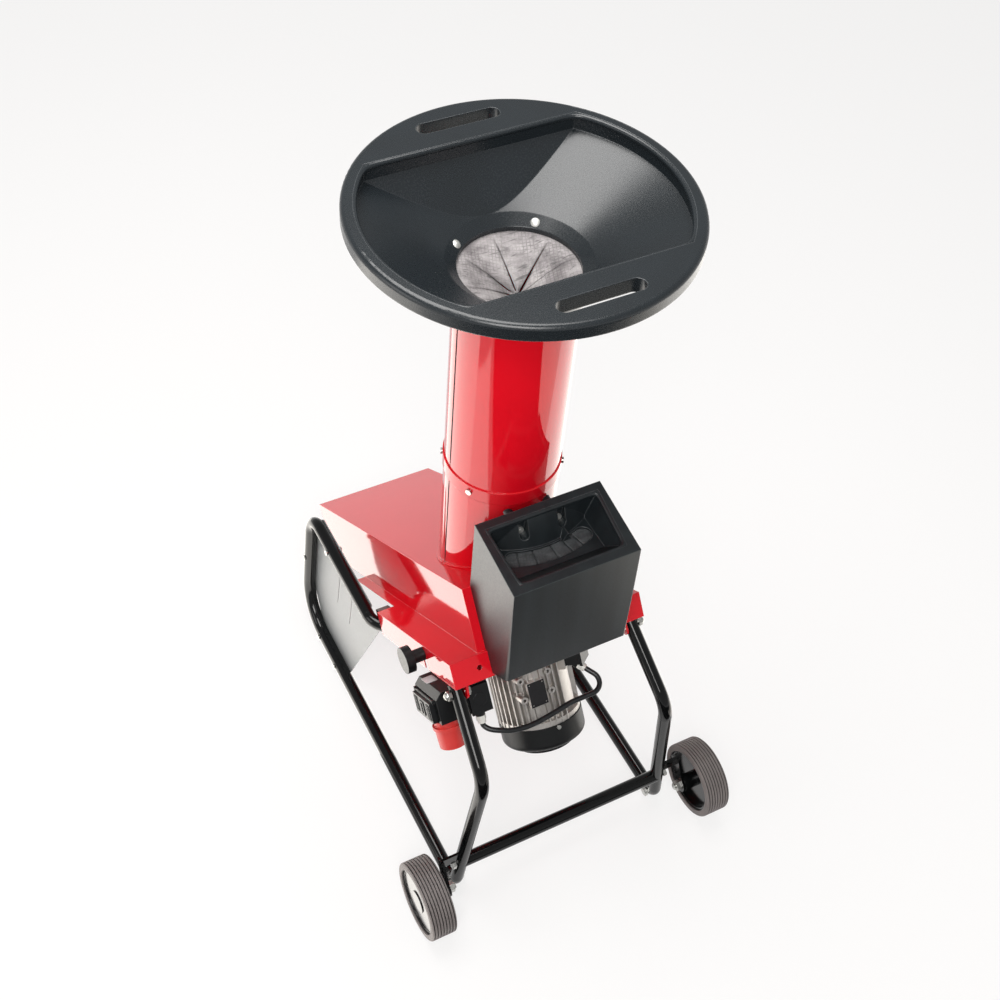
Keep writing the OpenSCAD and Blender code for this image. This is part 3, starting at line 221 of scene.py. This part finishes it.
def makeMouthRubber(s):
    low, high = (corner[2] * 1000 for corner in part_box("hopper_flap"))
    bm = bmesh.new()
    marks = [-s["half"], *s["cuts"], s["half"]]
    last = len(marks) - 2
    for n, (start, end) in enumerate(zip(marks, marks[1:])):
        wide = max(4, round((end - start) / s["column"]))
        droop = s["sag"] * (s["sagLeast"] + s["sagStep"] * ((n * 3) % 4))
        rows = []
        for i in range(s["rings"] + 1):
            t = i / s["rings"]
            r = s["inner"] + (s["outer"] - s["inner"]) * t
            row = []
            for k in range(wide + 1):
                across = k / wide
                pinch = s["pinch"] * ((k == 0 and n > 0) - (k == wide and n < last))      # only beside a cut
                a = math.radians(-90 + start + (end - start) * across + pinch)
                z = high - s["low"] - droop * math.sin(math.pi * t) + s["crown"] * math.sin(math.pi * across)
                row.append(bm.verts.new(roundTube(r, a, max(z, low))))
            rows.append(row)
        skin(bm, rows, False)
    piece = keepSheet("mouthRubber", bm, s["thick"])
    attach(piece, "hood")
    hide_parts("hopper_flap")
    return piece


mouthRubberPiece = makeMouthRubber(mouthRubber)

# rounded lips where the moulded openings turn over from rim to wall; mm
lipMake = {"step": 4, "facets": 8, "sunk": 0.6, "under": 0.04}
# round is the lip's radius, soft how far a corner is eased, land where the straight edges cut the circle
pocketLip = {"round": 5, "soft": 26, "radius": 246.5, "land": 171, "top": 1320, "facets": 40}
# half the mouth's width, y and z at its two long edges
hopperLip = {"round": 5.5, "soft": 20, "front": (100.1, -298.8, 778.6), "back": (106.6, -186.2, 797.6)}


def pocketEdge(s):
    out = []
    reach = math.asin(s["land"] / s["radius"])
    for first in (-reach, math.pi - reach):     # two arcs, and the straight lands join them
        for k in range(s["facets"] + 1):
            out.append(roundTube(s["radius"], first + 2 * reach * k / s["facets"], s["top"]) * 1000)
    return out


def hopperEdge(s):
    (x0, y0, z0), (x1, y1, z1) = s["front"], s["back"]
    return [Vector(p) for p in ((-x0, y0, z0), (x0, y0, z0), (x1, y1, z1), (-x1, y1, z1))]


def evenPoints(corners, step):
    out = []
    for a, b in zip(corners, corners[1:] + corners[:1]):
        n = max(1, round((b - a).length / step))
        out += [a.lerp(b, k / n) for k in range(n)]
    return out


# each corner becomes the weighted mean of the points near it
def easeCorners(edge, reach):
    count = len(edge)
    weights = {k: reach + 1 - abs(k) for k in range(-reach, reach + 1)}
    whole = sum(weights.values())
    out = []
    for i in range(count):
        near = (edge[(i + k) % count] * w for k, w in weights.items())
        out.append(sum(near, Vector()) / whole)
    return out


def makeLip(name, corners, s):
    m = lipMake
    edge = evenPoints(corners, m["step"])
    soft = easeCorners(edge, round(s["soft"] / m["step"]))
    count = len(edge)
    middle = sum(edge, Vector()) / count
    up = (edge[count // 3] - edge[0]).cross(edge[2 * count // 3] - edge[0]).normalized()
    up = up if up.z > 0 else -up
    bm = bmesh.new()
    rows = []
    for i in range(count):
        inward = up.cross((soft[(i + 1) % count] - soft[i - 1]).normalized())
        inward = inward if inward.dot(middle - soft[i]) > 0 else -inward
        root = edge[i] - m["sunk"] * inward     # its back is sunk into the wall
        row = [root - m["under"] * up]
        for k in range(m["facets"] + 1):
            a = math.radians(90 - 180 * k / m["facets"])
            row.append(soft[i] + s["round"] * (inward * math.cos(a) + up * (math.sin(a) - 1)))
        row.append(root - 2 * s["round"] * up)
        rows.append([bm.verts.new(v / 1000) for v in row])
    skin(bm, rows + rows[:1], True)
    bmesh.ops.recalc_face_normals(bm, faces=bm.faces)
    piece = keepMesh(name, bm)
    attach(piece, "hood")
    return piece


pocketLipPiece = makeLip("pocketLip", pocketEdge(pocketLip), pocketLip)
hopperLipPiece = makeLip("hopperLip", hopperEdge(hopperLip), hopperLip)

# dark strip that stands for the shade in the open sheet seam down the left of the feed tube, a crowned
# bead in two lengths; mm
seamShadeStrip = {"tube": 100, "wide": 4.2, "crown": 0.45, "edge": 0.05, "root": 0.5, "endWidth": 0.55,
              "runs": ((549, 773), (803, 1160)), "across": 8, "along": 12}


def makeSeamShadeStrip(s):
    bm = bmesh.new()
    root = s["tube"] - s["root"]
    for low, high in s["runs"]:
        rows = []
        for i in range(s["along"] + 1):
            z = low + (high - low) * i / s["along"]
            thin = s["endWidth"] if i in (0, s["along"]) else 1        # the bead is pulled thin at its ends
            row = []
            for k in range(s["across"] + 1):
                t = 2 * k / s["across"] - 1
                a = math.pi + t * thin * s["wide"] / 2 / s["tube"]
                row.append((s["tube"] + s["crown"] * thin * (1 - t * t) - s["edge"], a))
            row += [(root, row[-1][1]), (root, row[0][1])]
            rows.append([bm.verts.new(roundTube(r, a, z)) for r, a in row])
        skin(bm, rows, True)
        bm.faces.new(rows[0][::-1])
        bm.faces.new(rows[-1])
    bmesh.ops.recalc_face_normals(bm, faces=bm.faces)
    piece = keepMesh("seamShadeStrip", bm)
    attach(piece, "hood")
    return piece


seamShadeStripPiece = makeSeamShadeStrip(seamShadeStrip)

# bare foil plate on the sloping top of the switch box; mm in the tray's frame
switchPlate = {"across": (-205, -183), "down": (112, 142), "above": -65.1, "thick": 0.5, "sunk": 0.2,
               "shoulder": 0.35, "taper": 0.985, "corner": 2.5, "facets": 5}


def makeSwitchPlate(s):
    (left, right), (top, foot), r = s["across"], s["down"], s["corner"]
    rim = []
    corners = ((right - r, foot - r), (left + r, foot - r), (left + r, top + r), (right - r, top + r))
    for quarter, (x, y) in enumerate(corners):
        for k in range(s["facets"] + 1):
            a = math.radians(90 * (quarter + k / s["facets"]))
            rim.append((x + r * math.cos(a), y + r * math.sin(a)))
    midX, midY = (left + right) / 2, (top + foot) / 2
    bm = bmesh.new()
    rows = []
    for size, up in ((1, -s["sunk"]), (1, s["shoulder"]), (s["taper"], s["thick"])):
        places = [onTray(midX + (x - midX) * size, midY + (y - midY) * size, s["above"] + up) for x, y in rim]
        rows.append([bm.verts.new(p) for p in places])
    skin(bm, rows, True)
    bm.faces.new(rows[-1])
    bm.faces.new(rows[0][::-1])
    bmesh.ops.recalc_face_normals(bm, faces=bm.faces)
    piece = keepMesh("switchPlate", bm, smooth=False)
    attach(piece, "chassis")
    return piece


switchPlatePiece = makeSwitchPlate(switchPlate)
print("pieces made")


# sRGB hex to linear
def tone(hexText):
    parts = [int(hexText[i:i + 2], 16) / 255 for i in (0, 2, 4)]
    return [c / 12.92 if c <= 0.04045 else ((c + 0.055) / 1.055) ** 2.4 for c in parts] + [1]


# adds a node; sets are its properties or socket values, links go from an output to a socket
def put(tree, kind, sets=None, links=None):
    n = tree.nodes.new(kind)
    for key, value in (sets or {}).items():
        if isinstance(key, str) and hasattr(n, key):
            setattr(n, key, value)
        else:
            n.inputs[key].default_value = value
    for key, out in (links or {}).items():
        tree.links.new(out, n.inputs[key])
    return n


# sockets of a map range, in the order in which the levels below are written
ends = ("From Min", "From Max", "To Min", "To Max")

# one entry per finish; mm: cloud = slow colour drift, grain = what the hand feels, lift = depth of that
# grain, edge = how far the paler edge colour reaches from an edge (rubbed wear, and on the ABS and
# polyethylene a painted highlight), flow = width of a flow line; moulded, cast and ground grain is really 0.1
# to 0.5 mm wide and drawn coarser so that it shows; stretch packs it along an axis
finishes = {
    # gloss enamel sprayed on folded sheet steel: deep even red, mirror sheen, a trace of orange peel
    "glossEnamelRed": dict(light="de0f20", dark="d00c1c", edgeWearAndHighlight="ee4a4c", rough=(0.04, 0.08), ior=1.5,
                           cloud=160, grain=6, lift=0.012, edge=1.4),
    # satin powder coat on bent tube: near black, broad soft highlight
    "satinPowderBlack": dict(light="0b0c0d", dark="060707", edgeWearAndHighlight="2c2f31", rough=(0.08, 0.14), ior=1.42,
                             cloud=60, grain=2.5, lift=0.01, edge=0.3),
    # grey stoved paint on the thin side sheets: pale, nearly matt
    "stovedPaintGrey": dict(light="a2a4a4", dark="979999", edgeWearAndHighlight="e2e2e2", rough=(0.38, 0.5), ior=1.5,
                            cloud=120, grain=4, lift=0.012, edge=0.8),
    # injection moulded ABS with a spark-eroded grain: dark blue-grey, satin, paler on its edges as a painted
    # highlight
    "mouldedAbsGrey": dict(light="20262a", dark="191d20", edgeWearAndHighlight="767a7d", rough=(0.22, 0.31), ior=1.53,
                           cloud=90, grain=2.2, lift=0.05, edge=2.4),
    # blow moulded polyethylene of the side hopper: black, waxy, faint flow lines 26 mm wide down its walls
    # its paler edge colour is a painted highlight along the rounded edges, as on the ABS
    "blownPolyethylene": dict(light="1f2528", dark="181d20", edgeWearAndHighlight="767a7c", rough=(0.34, 0.44), ior=1.51,
                              cloud=70, grain=2.6, lift=0.06, edge=2.4, flow=26),
    # polypropylene wheel centres from a polished mould: black and glossy
    "polishedPolypropylene": dict(light="0f1112", dark="0a0b0b", edgeWearAndHighlight="2c2f31", rough=(0.12, 0.18), ior=1.49,
                                  cloud=30, grain=2.0, lift=0.012, edge=0.8),
    # moulded nylon for boxes, knob and cowl: black with a fine dull grain
    "mouldedNylonBlack": dict(light="101214", dark="0a0b0c", edgeWearAndHighlight="34383a", rough=(0.32, 0.44), ior=1.4,
                              cloud=40, grain=1.8, lift=0.04, edge=1.2),
    # die-cast aluminium, tumbled: grey metal with dull pores and rubbed bright ribs
    "dieCastAluminium": dict(light="d9d5d1", dark="aca8a4", edgeWearAndHighlight="f0eeec", rough=(0.42, 0.58), metal=1.0,
                             cloud=26, grain=2.0, lift=0.06, edge=1.0),
    # zinc-plated steel fasteners: bright cold metal with a slight haze
    "zincPlate": dict(light="cfcfcb", dark="acaca8", edgeWearAndHighlight="f2f2ee", rough=(0.26, 0.4), metal=1.0,
                      cloud=8, grain=1.5, lift=0.02, edge=0.4),
    # passivated zinc on the pan-head screws in funnel and hopper: pale, frosted metal
    "passivatedZinc": dict(light="f2f2ee", dark="dededa", edgeWearAndHighlight="fafaf7", rough=(0.5, 0.62), metal=1.0,
                           cloud=8, grain=1.5, lift=0.02, edge=0.4),
    # ground tool steel: fine straight scratches, mid-grey metal
    "groundSteel": dict(light="b4b4b6", dark="8d8d90", edgeWearAndHighlight="d8d8d8", rough=(0.24, 0.36), metal=1.0,
                        cloud=30, grain=1.2, lift=0.03, edge=0.4, stretch=(1, 12, 12)),
    # varnished core plates: brown-grey stacked sheets
    "varnishedCore": dict(light="6f5c48", dark="463a2e", edgeWearAndHighlight="85705a", rough=(0.4, 0.55), metal=0.6,
                          cloud=10, grain=1.0, lift=0.08, edge=0.3, stretch=(1, 1, 20)),
    # tyre compound, moulded: brown-grey, no shine, darker down in the grooves; its tread is given by the
    # wheel's radius, its middle and half width across, and how far below the radius it is dark and how far it
    # is pale
    "tyreRubber": dict(light="7e7775", dark="655e5c", edgeWearAndHighlight="8d8684", rough=(0.5, 0.7), ior=1.52,
                       cloud=24, grain=1.6, lift=0.08, edge=0.8, groove="1b1817",
                       tread=dict(radius=76.5, middle=300, half=22.5, dark=2.4, paleDepth=0.8)),
    # pvc sheath on the motor lead: black, smooth, soft highlight
    "pvcSheathBlack": dict(light="1a1d20", dark="121416", edgeWearAndHighlight="25282a", rough=(0.3, 0.42), ior=1.53,
                           cloud=30, grain=2.0, lift=0.02, edge=0.2),
    # moulded polyamide cable glands: warm white, satin
    "polyamideWhite": dict(light="e4e3de", dark="d2d1cb", edgeWearAndHighlight="eeede9", rough=(0.3, 0.42), ior=1.53,
                           cloud=14, grain=1.5, lift=0.02, edge=0.5),
    # red polyamide of the mains inlet and the stop button: slightly chalky orange red
    "polyamideRed": dict(light="d03530", dark="c02c28", edgeWearAndHighlight="ec6a63", rough=(0.34, 0.45), ior=1.53,
                         cloud=30, grain=1.5, lift=0.02, edge=0.6),
    # green polyamide of the start button: the same moulding in a clear green
    "polyamideGreen": dict(light="2d9a4a", dark="24853e", edgeWearAndHighlight="58b870", rough=(0.34, 0.45), ior=1.53,
                           cloud=30, grain=1.5, lift=0.02, edge=0.6),
    # turned brass pins: warm bright metal
    "turnedBrass": dict(light="d9b45c", dark="b8933f", edgeWearAndHighlight="efd48a", rough=(0.2, 0.3), metal=1.0,
                        cloud=6, grain=1.0, lift=0.02, edge=0.3, stretch=(1, 1, 10)),
    # painted shade of the open seam: dull, nearly black, tinted by the red beside it
    "seamShadePaint": dict(light="2b1012", dark="180a0b", edgeWearAndHighlight="3a1a1c", rough=(0.8, 0.9), ior=1.25,
                        cloud=20, grain=1.5, lift=0.04, edge=0.2),
    # silver polyester foil stuck on the switch: pale, faintly clouded
    "polyesterFoil": dict(light="dfe0e1", dark="cbcdcf", edgeWearAndHighlight="dadcdd", rough=(0.26, 0.38), ior=1.55,
                          cloud=9, grain=1.2, lift=0.015, edge=0.2),
    # anodised plate on the motor: near-black foil with a dull sheen
    "anodisedPlate": dict(light="2b2a2c", dark="1d1c1e", edgeWearAndHighlight="6a6a6a", rough=(0.28, 0.4), metal=0.4,
                          cloud=12, grain=1.2, lift=0.03, edge=0.3),
}
# how strongly an edge takes the paler edge colour (rubbed wear, and a painted highlight on the ABS and
# polyethylene):
# from nearly flat to sharp, and how strongly at most; how far a flow line is drawn out, the levels of noise
# that count for it and for the grain, and how strongly the grain shows
surfaceLevels = {"edge": (0.995, 0.80, 0.0, 0.75), "flowSquash": 0.03, "flowLevels": (0.35, 0.65),
        "grainLevels": (0.3, 0.7), "relief": 0.6}


def startMaterial(name):
    mat = bpy.data.materials.new(name)
    mat.use_nodes = True
    mat.node_tree.nodes.clear()
    return mat, mat.node_tree


# the ribs and the tyres' flat sides keep the pale colour, the grooves between the ribs go dark
def paleRibsDarkGrooves(t, spot, colour, f):
    radius, middle, half, dark, paleDepth = (v / 1000 for v in f["tread"].values())
    centred = put(t, "ShaderNodeMapping", {"Location": (0, -axleY / 1000, -radius), "Scale": (0, 1, 1)},
                  {"Vector": spot})
    far = put(t, "ShaderNodeVectorMath", {"operation": "LENGTH"}, {0: centred.outputs[0]})
    rib = put(t, "ShaderNodeMapRange", {"From Min": radius - dark, "From Max": radius - paleDepth},
              {"Value": far.outputs["Value"]})
    along = put(t, "ShaderNodeSeparateXYZ", None, {0: spot})
    side = put(t, "ShaderNodeMath", {"operation": "ABSOLUTE"}, {0: along.outputs["X"]})
    onTread = put(t, "ShaderNodeMath", {"operation": "COMPARE", 1: middle, 2: half}, {0: side.outputs[0]})
    onSide = put(t, "ShaderNodeMath", {"operation": "SUBTRACT", 0: 1.0}, {1: onTread.outputs[0]})
    paleRibsAndSides = put(t, "ShaderNodeMath", {"operation": "MAXIMUM"}, {0: rib.outputs[0], 1: onSide.outputs[0]})
    return put(t, "ShaderNodeMix", {"data_type": "RGBA", 6: tone(f["groove"])},
               {0: paleRibsAndSides.outputs[0], 7: colour.outputs[2]})


def makeFinish(name, f):
    mat, t = startMaterial(name)
    out = put(t, "ShaderNodeOutputMaterial")
    spot = put(t, "ShaderNodeTexCoord").outputs["Object"]
    if "stretch" in f:
        spot = put(t, "ShaderNodeMapping", {"Scale": f["stretch"]}, {"Vector": spot}).outputs[0]
    cloud = put(t, "ShaderNodeTexNoise", {"Scale": 1000 / f["cloud"], "Detail": 4.0, "Roughness": 0.6},
                {"Vector": spot})
    grain = put(t, "ShaderNodeTexNoise", {"Scale": 1000 / f["grain"], "Detail": 3.0, "Roughness": 0.55},
                {"Vector": spot})
    drift = cloud.outputs["Fac"]
    if "flow" in f:                             # long streaks down the wall
        drawn = put(t, "ShaderNodeMapping", {"Scale": (1, 1, surfaceLevels["flowSquash"])}, {"Vector": spot})
        streak = put(t, "ShaderNodeTexNoise", {"Scale": 1000 / f["flow"], "Detail": 2.0},
                     {"Vector": drawn.outputs[0]})
        drift = put(t, "ShaderNodeMapRange", dict(zip(ends, surfaceLevels["flowLevels"])),
                    {"Value": streak.outputs["Fac"]}).outputs[0]
    mix = put(t, "ShaderNodeMix", {"data_type": "RGBA", 6: tone(f["dark"]), 7: tone(f["light"])}, {0: drift})
    edge = put(t, "ShaderNodeBevel", {"samples": 8, "Radius": f["edge"] / 1000})
    flat = put(t, "ShaderNodeNewGeometry")
    meet = put(t, "ShaderNodeVectorMath", {"operation": "DOT_PRODUCT"},
               {0: edge.outputs[0], 1: flat.outputs["Normal"]})
    # edges take the paler edge colour: rubbed wear, and on the ABS and polyethylene a painted highlight
    edgeWearAndHighlightMask = put(t, "ShaderNodeMapRange", dict(zip(ends, surfaceLevels["edge"])), {"Value": meet.outputs["Value"]})
    edgeWearAndHighlightPatch = put(t, "ShaderNodeMath", {"operation": "MULTIPLY"}, {0: edgeWearAndHighlightMask.outputs[0], 1: cloud.outputs["Fac"]})
    colour = put(t, "ShaderNodeMix", {"data_type": "RGBA", 7: tone(f["edgeWearAndHighlight"])},
                 {0: edgeWearAndHighlightPatch.outputs[0], 6: mix.outputs[2]})
    if "tread" in f:
        colour = paleRibsDarkGrooves(t, spot, colour, f)
    rough = put(t, "ShaderNodeMapRange", dict(zip(ends, (*surfaceLevels["grainLevels"], *f["rough"]))),
                {"Value": grain.outputs["Fac"]})
    bump = put(t, "ShaderNodeBump", {"Strength": surfaceLevels["relief"], "Distance": f["lift"] / 1000},
               {"Height": grain.outputs["Fac"], "Normal": edge.outputs[0]})
    sets = {"Metallic": f.get("metal", 0.0)}
    if "ior" in f:
        sets["IOR"] = f["ior"]
    shader = put(t, "ShaderNodeBsdfPrincipled", sets,
                 {"Base Color": colour.outputs[2], "Roughness": rough.outputs[0], "Normal": bump.outputs[0]})
    t.links.new(shader.outputs[0], out.inputs[0])
    return mat


made = {name: makeFinish(name, f) for name, f in finishes.items()}

# reinforced rubber sheet: grey-brown, its cloth threads showing in bare patches, dark scuffs and scratches;
# mm, but lie is the cloth's turn in radians; threads are really 1 to 2 mm apart and drawn coarser to show
scuffedRubber = {"light": "aaa5a5", "dark": "6a6566", "soil": "2e2b2c", "thread": 5.5, "cloud": 45,
                 "bare": 34, "scratch": 6.6, "lie": 0.35, "lift": 0.4, "relief": 0.6, "ior": 1.52,
                 # levels of noise that count, and what they become
                 "cloudLevels": (0.36, 0.62), "threadLevels": (0.82, 0.98),
                 "bareLevels": (0.42, 0.62, 0.08, 0.5), "scratchLevels": (0.63, 0.72, 0.0, 0.6),
                 "roughLevels": (0.0, 1.0, 0.5, 0.75)}
# the same sheet, darker, in the hopper
darkerRubber = dict(scuffedRubber, light="55585a", dark="3a3d3f", cloud=18)
# how the scratches run, in radians, and how far each is drawn out
scratchRuns = ((0.9, 0.03), (-0.7, 0.05), (2.3, 0.04))


def makeScuffedRubber(name, s):
    mat, t = startMaterial(name)
    out = put(t, "ShaderNodeOutputMaterial")
    spot = put(t, "ShaderNodeTexCoord").outputs["Object"]
    cloud = put(t, "ShaderNodeTexNoise",
                {"Scale": 1000 / s["cloud"], "Detail": 7.0, "Roughness": 0.7, "Distortion": 0.4},
                {"Vector": spot})
    level = put(t, "ShaderNodeMapRange", dict(zip(ends, s["cloudLevels"])), {"Value": cloud.outputs["Fac"]})
    colour = put(t, "ShaderNodeMix", {"data_type": "RGBA", 6: tone(s["dark"]), 7: tone(s["light"])},
                 {0: level.outputs[0]})
    weave = put(t, "ShaderNodeMapping", {"Rotation": (0, 0, s["lie"])}, {"Vector": spot})
    pitch = math.pi / 10 / (s["thread"] / 1000)     # a wave band is pi / 10 wide at scale 1
    bare = put(t, "ShaderNodeTexNoise", {"Scale": 1000 / s["bare"], "Detail": 4.0, "Roughness": 0.6},
               {"Vector": spot})
    shown = put(t, "ShaderNodeMapRange", dict(zip(ends, s["bareLevels"])), {"Value": bare.outputs["Fac"]})
    marks = []
    for way in ("X", "Y"):
        wave = put(t, "ShaderNodeTexWave", {"bands_direction": way, "Scale": pitch, "Distortion": 0.8,
                                            "Detail": 2.0, "Detail Scale": 2.0}, {"Vector": weave.outputs[0]})
        band = put(t, "ShaderNodeMapRange", dict(zip(ends, s["threadLevels"])),
                   {"Value": wave.outputs["Fac"]})
        marks.append(put(t, "ShaderNodeMath", {"operation": "MULTIPLY"},
                         {0: band.outputs[0], 1: shown.outputs[0]}))
    for turn, drawn in scratchRuns:
        lane = put(t, "ShaderNodeMapping", {"Rotation": (0, 0, turn), "Scale": (drawn, 1, 1)},
                   {"Vector": spot})
        line = put(t, "ShaderNodeTexNoise", {"Scale": 1000 / s["scratch"], "Detail": 2.0},
                   {"Vector": lane.outputs[0]})
        marks.append(put(t, "ShaderNodeMapRange", dict(zip(ends, s["scratchLevels"])),
                         {"Value": line.outputs["Fac"]}))
    scuff = marks[0].outputs[0]
    for mark in marks[1:]:
        scuff = put(t, "ShaderNodeMath", {"operation": "MAXIMUM"}, {0: scuff, 1: mark.outputs[0]}).outputs[0]
    soiled = put(t, "ShaderNodeMix", {"data_type": "RGBA", 7: tone(s["soil"])},
                 {0: scuff, 6: colour.outputs[2]})
    bump = put(t, "ShaderNodeBump",
               {"Strength": s["relief"], "Distance": s["lift"] / 1000, "invert": True}, {"Height": scuff})
    rough = put(t, "ShaderNodeMapRange", dict(zip(ends, s["roughLevels"])), {"Value": cloud.outputs["Fac"]})
    shader = put(t, "ShaderNodeBsdfPrincipled", {"IOR": s["ior"]},
                 {"Base Color": soiled.outputs[2], "Roughness": rough.outputs[0], "Normal": bump.outputs[0]})
    t.links.new(shader.outputs[0], out.inputs[0])
    return mat


made["scuffedRubber"] = makeScuffedRubber("scuffedRubber", scuffedRubber)
made["darkerRubber"] = makeScuffedRubber("darkerRubber", darkerRubber)

# which finish each piece of the frame carries
frameFinish = {
    "glossEnamelRed": "hood lower_tube upper_tube base_plate",
    "satinPowderBlack": "left_frame right_frame cross_tube left_bracket right_bracket saddles",
    "stovedPaintGrey": "left_guard right_guard",
    "zincPlate": "cross_bolts heel_bolts axle_bolts guard_screws leg_bolts saddle_bolts hinge_bolts"
                 " motor_bolts tube_screws",
    "passivatedZinc": "funnel_screws hopper_screws",
    "groundSteel": "bearings shaft cutter_disc blades cutter_bolts",
    "varnishedCore": "stator rotor_core",
    "dieCastAluminium": "motor_body front_shield rear_shield",
    "mouldedNylonBlack": "pipe_caps lock_knob terminal_box terminal_lid switch_box switch_cover"
                         " fan_cowl cooling_fan",
    "polishedPolypropylene": "left_hub right_hub left_cap right_cap",
    "mouldedAbsGrey": "funnel",
    "blownPolyethylene": "side_hopper",
    "tyreRubber": "left_tyre right_tyre",
    "anodisedPlate": "rating_plate",
    "polyamideWhite": "motor_gland switch_gland",
    "polyamideRed": "power_inlet stop_button",
    "polyamideGreen": "start_button",
    "turnedBrass": "inlet_pins",
    "pvcSheathBlack": "motor_cable",
    "scuffedRubber": "funnel_flap hopper_flap",
}
for finish, names in frameFinish.items():
    for name in names.split():
        node = nodes[name]
        for slot in node.material_slots:
            slot.link = "OBJECT"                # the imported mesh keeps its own
            slot.material = made[finish]
        if not node.material_slots:
            node.data.materials.append(made[finish])

# and the pieces made here
for piece, finish in ((motorLeadPiece, "pvcSheathBlack"), (throatRubberPiece, "scuffedRubber"),
                      (mouthRubberPiece, "darkerRubber"), (pocketLipPiece, "mouldedAbsGrey"),
                      (hopperLipPiece, "blownPolyethylene"), (seamShadeStripPiece, "seamShadePaint"),
                      (switchPlatePiece, "polyesterFoil")):
    piece.data.materials.append(made[finish])
print("finishes on")

# studio: pale floor, a key and soft boxes above, cards on the floor that show only in the gloss, a black flag
# in front; low and high are the sky's strength from the horizon up, glow how much the floor shines by itself
studio = {"floor": 60, "paper": "f4f2f1", "paperGlow": (1, 0.995, 0.99, 1), "glow": 0.75,
          "low": 0.5, "high": 0.33, "lowAt": 0.05, "highAt": 0.75,
          "boxLight": (1, 0.985, 0.97), "cardLight": (1, 0.95, 0.87),
          # name, place, aim, width, depth, watts, only in the gloss
          "boxes": [("keyBox", (-1.3, -2.1, 3.2), (0, 0, 0.7), 1.6, 1.6, 72, False),
                    ("topBox", (-0.25, 0.5, 3.2), (-0.25, 0.5, 0), 1.7, 1.5, 60, False),
                    ("leftBox", (-2.6, 0.3, 1.6), (0, 0, 0.7), 1.2, 1.4, 9, False),
                    ("leftCard", (-1.03, 0.62, 0.003), (-1.03, 0.62, 1), 1.74, 1.36, 18, True),
                    ("wheelCard", (-0.77, -0.31, 0.003), (-0.77, -0.31, 1), 0.88, 0.49, 2.4, True),
                    ("rightCard", (1.25, -0.2, 0.003), (1.25, -0.2, 1), 1.5, 2.2, 18, True)],
          # two corners and the height over the floor
          "flag": ((-2.2, -5), (1.6, -0.66), 0.002), "velvet": "0c0c0c"}


def makeSky(s):
    world = bpy.data.worlds.new("studioWorld")
    world.use_nodes = True
    bpy.context.scene.world = world
    t = world.node_tree
    way = put(t, "ShaderNodeSeparateXYZ", None, {0: put(t, "ShaderNodeTexCoord").outputs["Generated"]})
    fall = put(t, "ShaderNodeMapRange",
               {"From Min": s["lowAt"], "From Max": s["highAt"], "To Min": s["low"], "To Max": s["high"]},
               {"Value": way.outputs["Z"]})
    t.links.new(fall.outputs[0], t.nodes["Background"].inputs["Strength"])
    t.nodes["Background"].inputs["Color"].default_value = (1, 1, 1, 1)


def makeFloor(s):
    bm = bmesh.new()
    bmesh.ops.create_grid(bm, x_segments=2, y_segments=2, size=s["floor"])
    floor = keepMesh("paperFloor", bm, smooth=False)
    mat, t = startMaterial("paperSweep")
    out = put(t, "ShaderNodeOutputMaterial")
    lit = put(t, "ShaderNodeBsdfDiffuse", {"Color": tone(s["paper"])})
    glow = put(t, "ShaderNodeEmission", {"Color": s["paperGlow"], "Strength": 1.0})
    path = put(t, "ShaderNodeLightPath")
    seen = put(t, "ShaderNodeMath", {"operation": "MAXIMUM"},
               {0: path.outputs["Is Camera Ray"], 1: path.outputs["Is Glossy Ray"]})
    clear = put(t, "ShaderNodeMath", {"operation": "MAXIMUM"},
                {0: seen.outputs[0], 1: path.outputs["Is Transmission Ray"]})
    some = put(t, "ShaderNodeMath", {"operation": "MULTIPLY", 1: s["glow"]}, {0: clear.outputs[0]})
    both = put(t, "ShaderNodeMixShader", None, {0: some.outputs[0], 1: lit.outputs[0], 2: glow.outputs[0]})
    t.links.new(both.outputs[0], out.inputs[0])
    floor.data.materials.append(mat)


def makeFlag(s):
    (x0, y0), (x1, y1), z = s["flag"]
    mesh = bpy.data.meshes.new("blackFlag")
    mesh.from_pydata([(x0, y0, z), (x1, y0, z), (x1, y1, z), (x0, y1, z)], [], [(0, 1, 2, 3)])
    flag = keep("blackFlag", mesh)
    mat, t = startMaterial("blackVelvet")
    out = put(t, "ShaderNodeOutputMaterial")
    shader = put(t, "ShaderNodeBsdfPrincipled", {"Base Color": tone(s["velvet"]), "Roughness": 1.0})
    t.links.new(shader.outputs[0], out.inputs[0])
    mesh.materials.append(mat)
    flag.visible_camera = False
    flag.visible_diffuse = False
    flag.visible_shadow = False


def makeBoxes(s):
    for name, place, aim, wide, deep, power, gloss in s["boxes"]:
        data = bpy.data.lights.new(name, "AREA")
        data.shape = "RECTANGLE"
        data.size = wide
        data.size_y = deep
        data.energy = power
        data.color = s["cardLight"] if gloss else s["boxLight"]
        lamp = keep(name, data)
        lamp.location = place
        lamp.rotation_euler = (Vector(aim) - Vector(place)).to_track_quat("-Z", "Y").to_euler()
        lamp.visible_camera = False
        lamp.visible_diffuse = not gloss


makeSky(studio)
makeFloor(studio)
makeFlag(studio)
makeBoxes(studio)
bpy.context.scene.view_settings.view_transform = "Standard"
print("studio set")
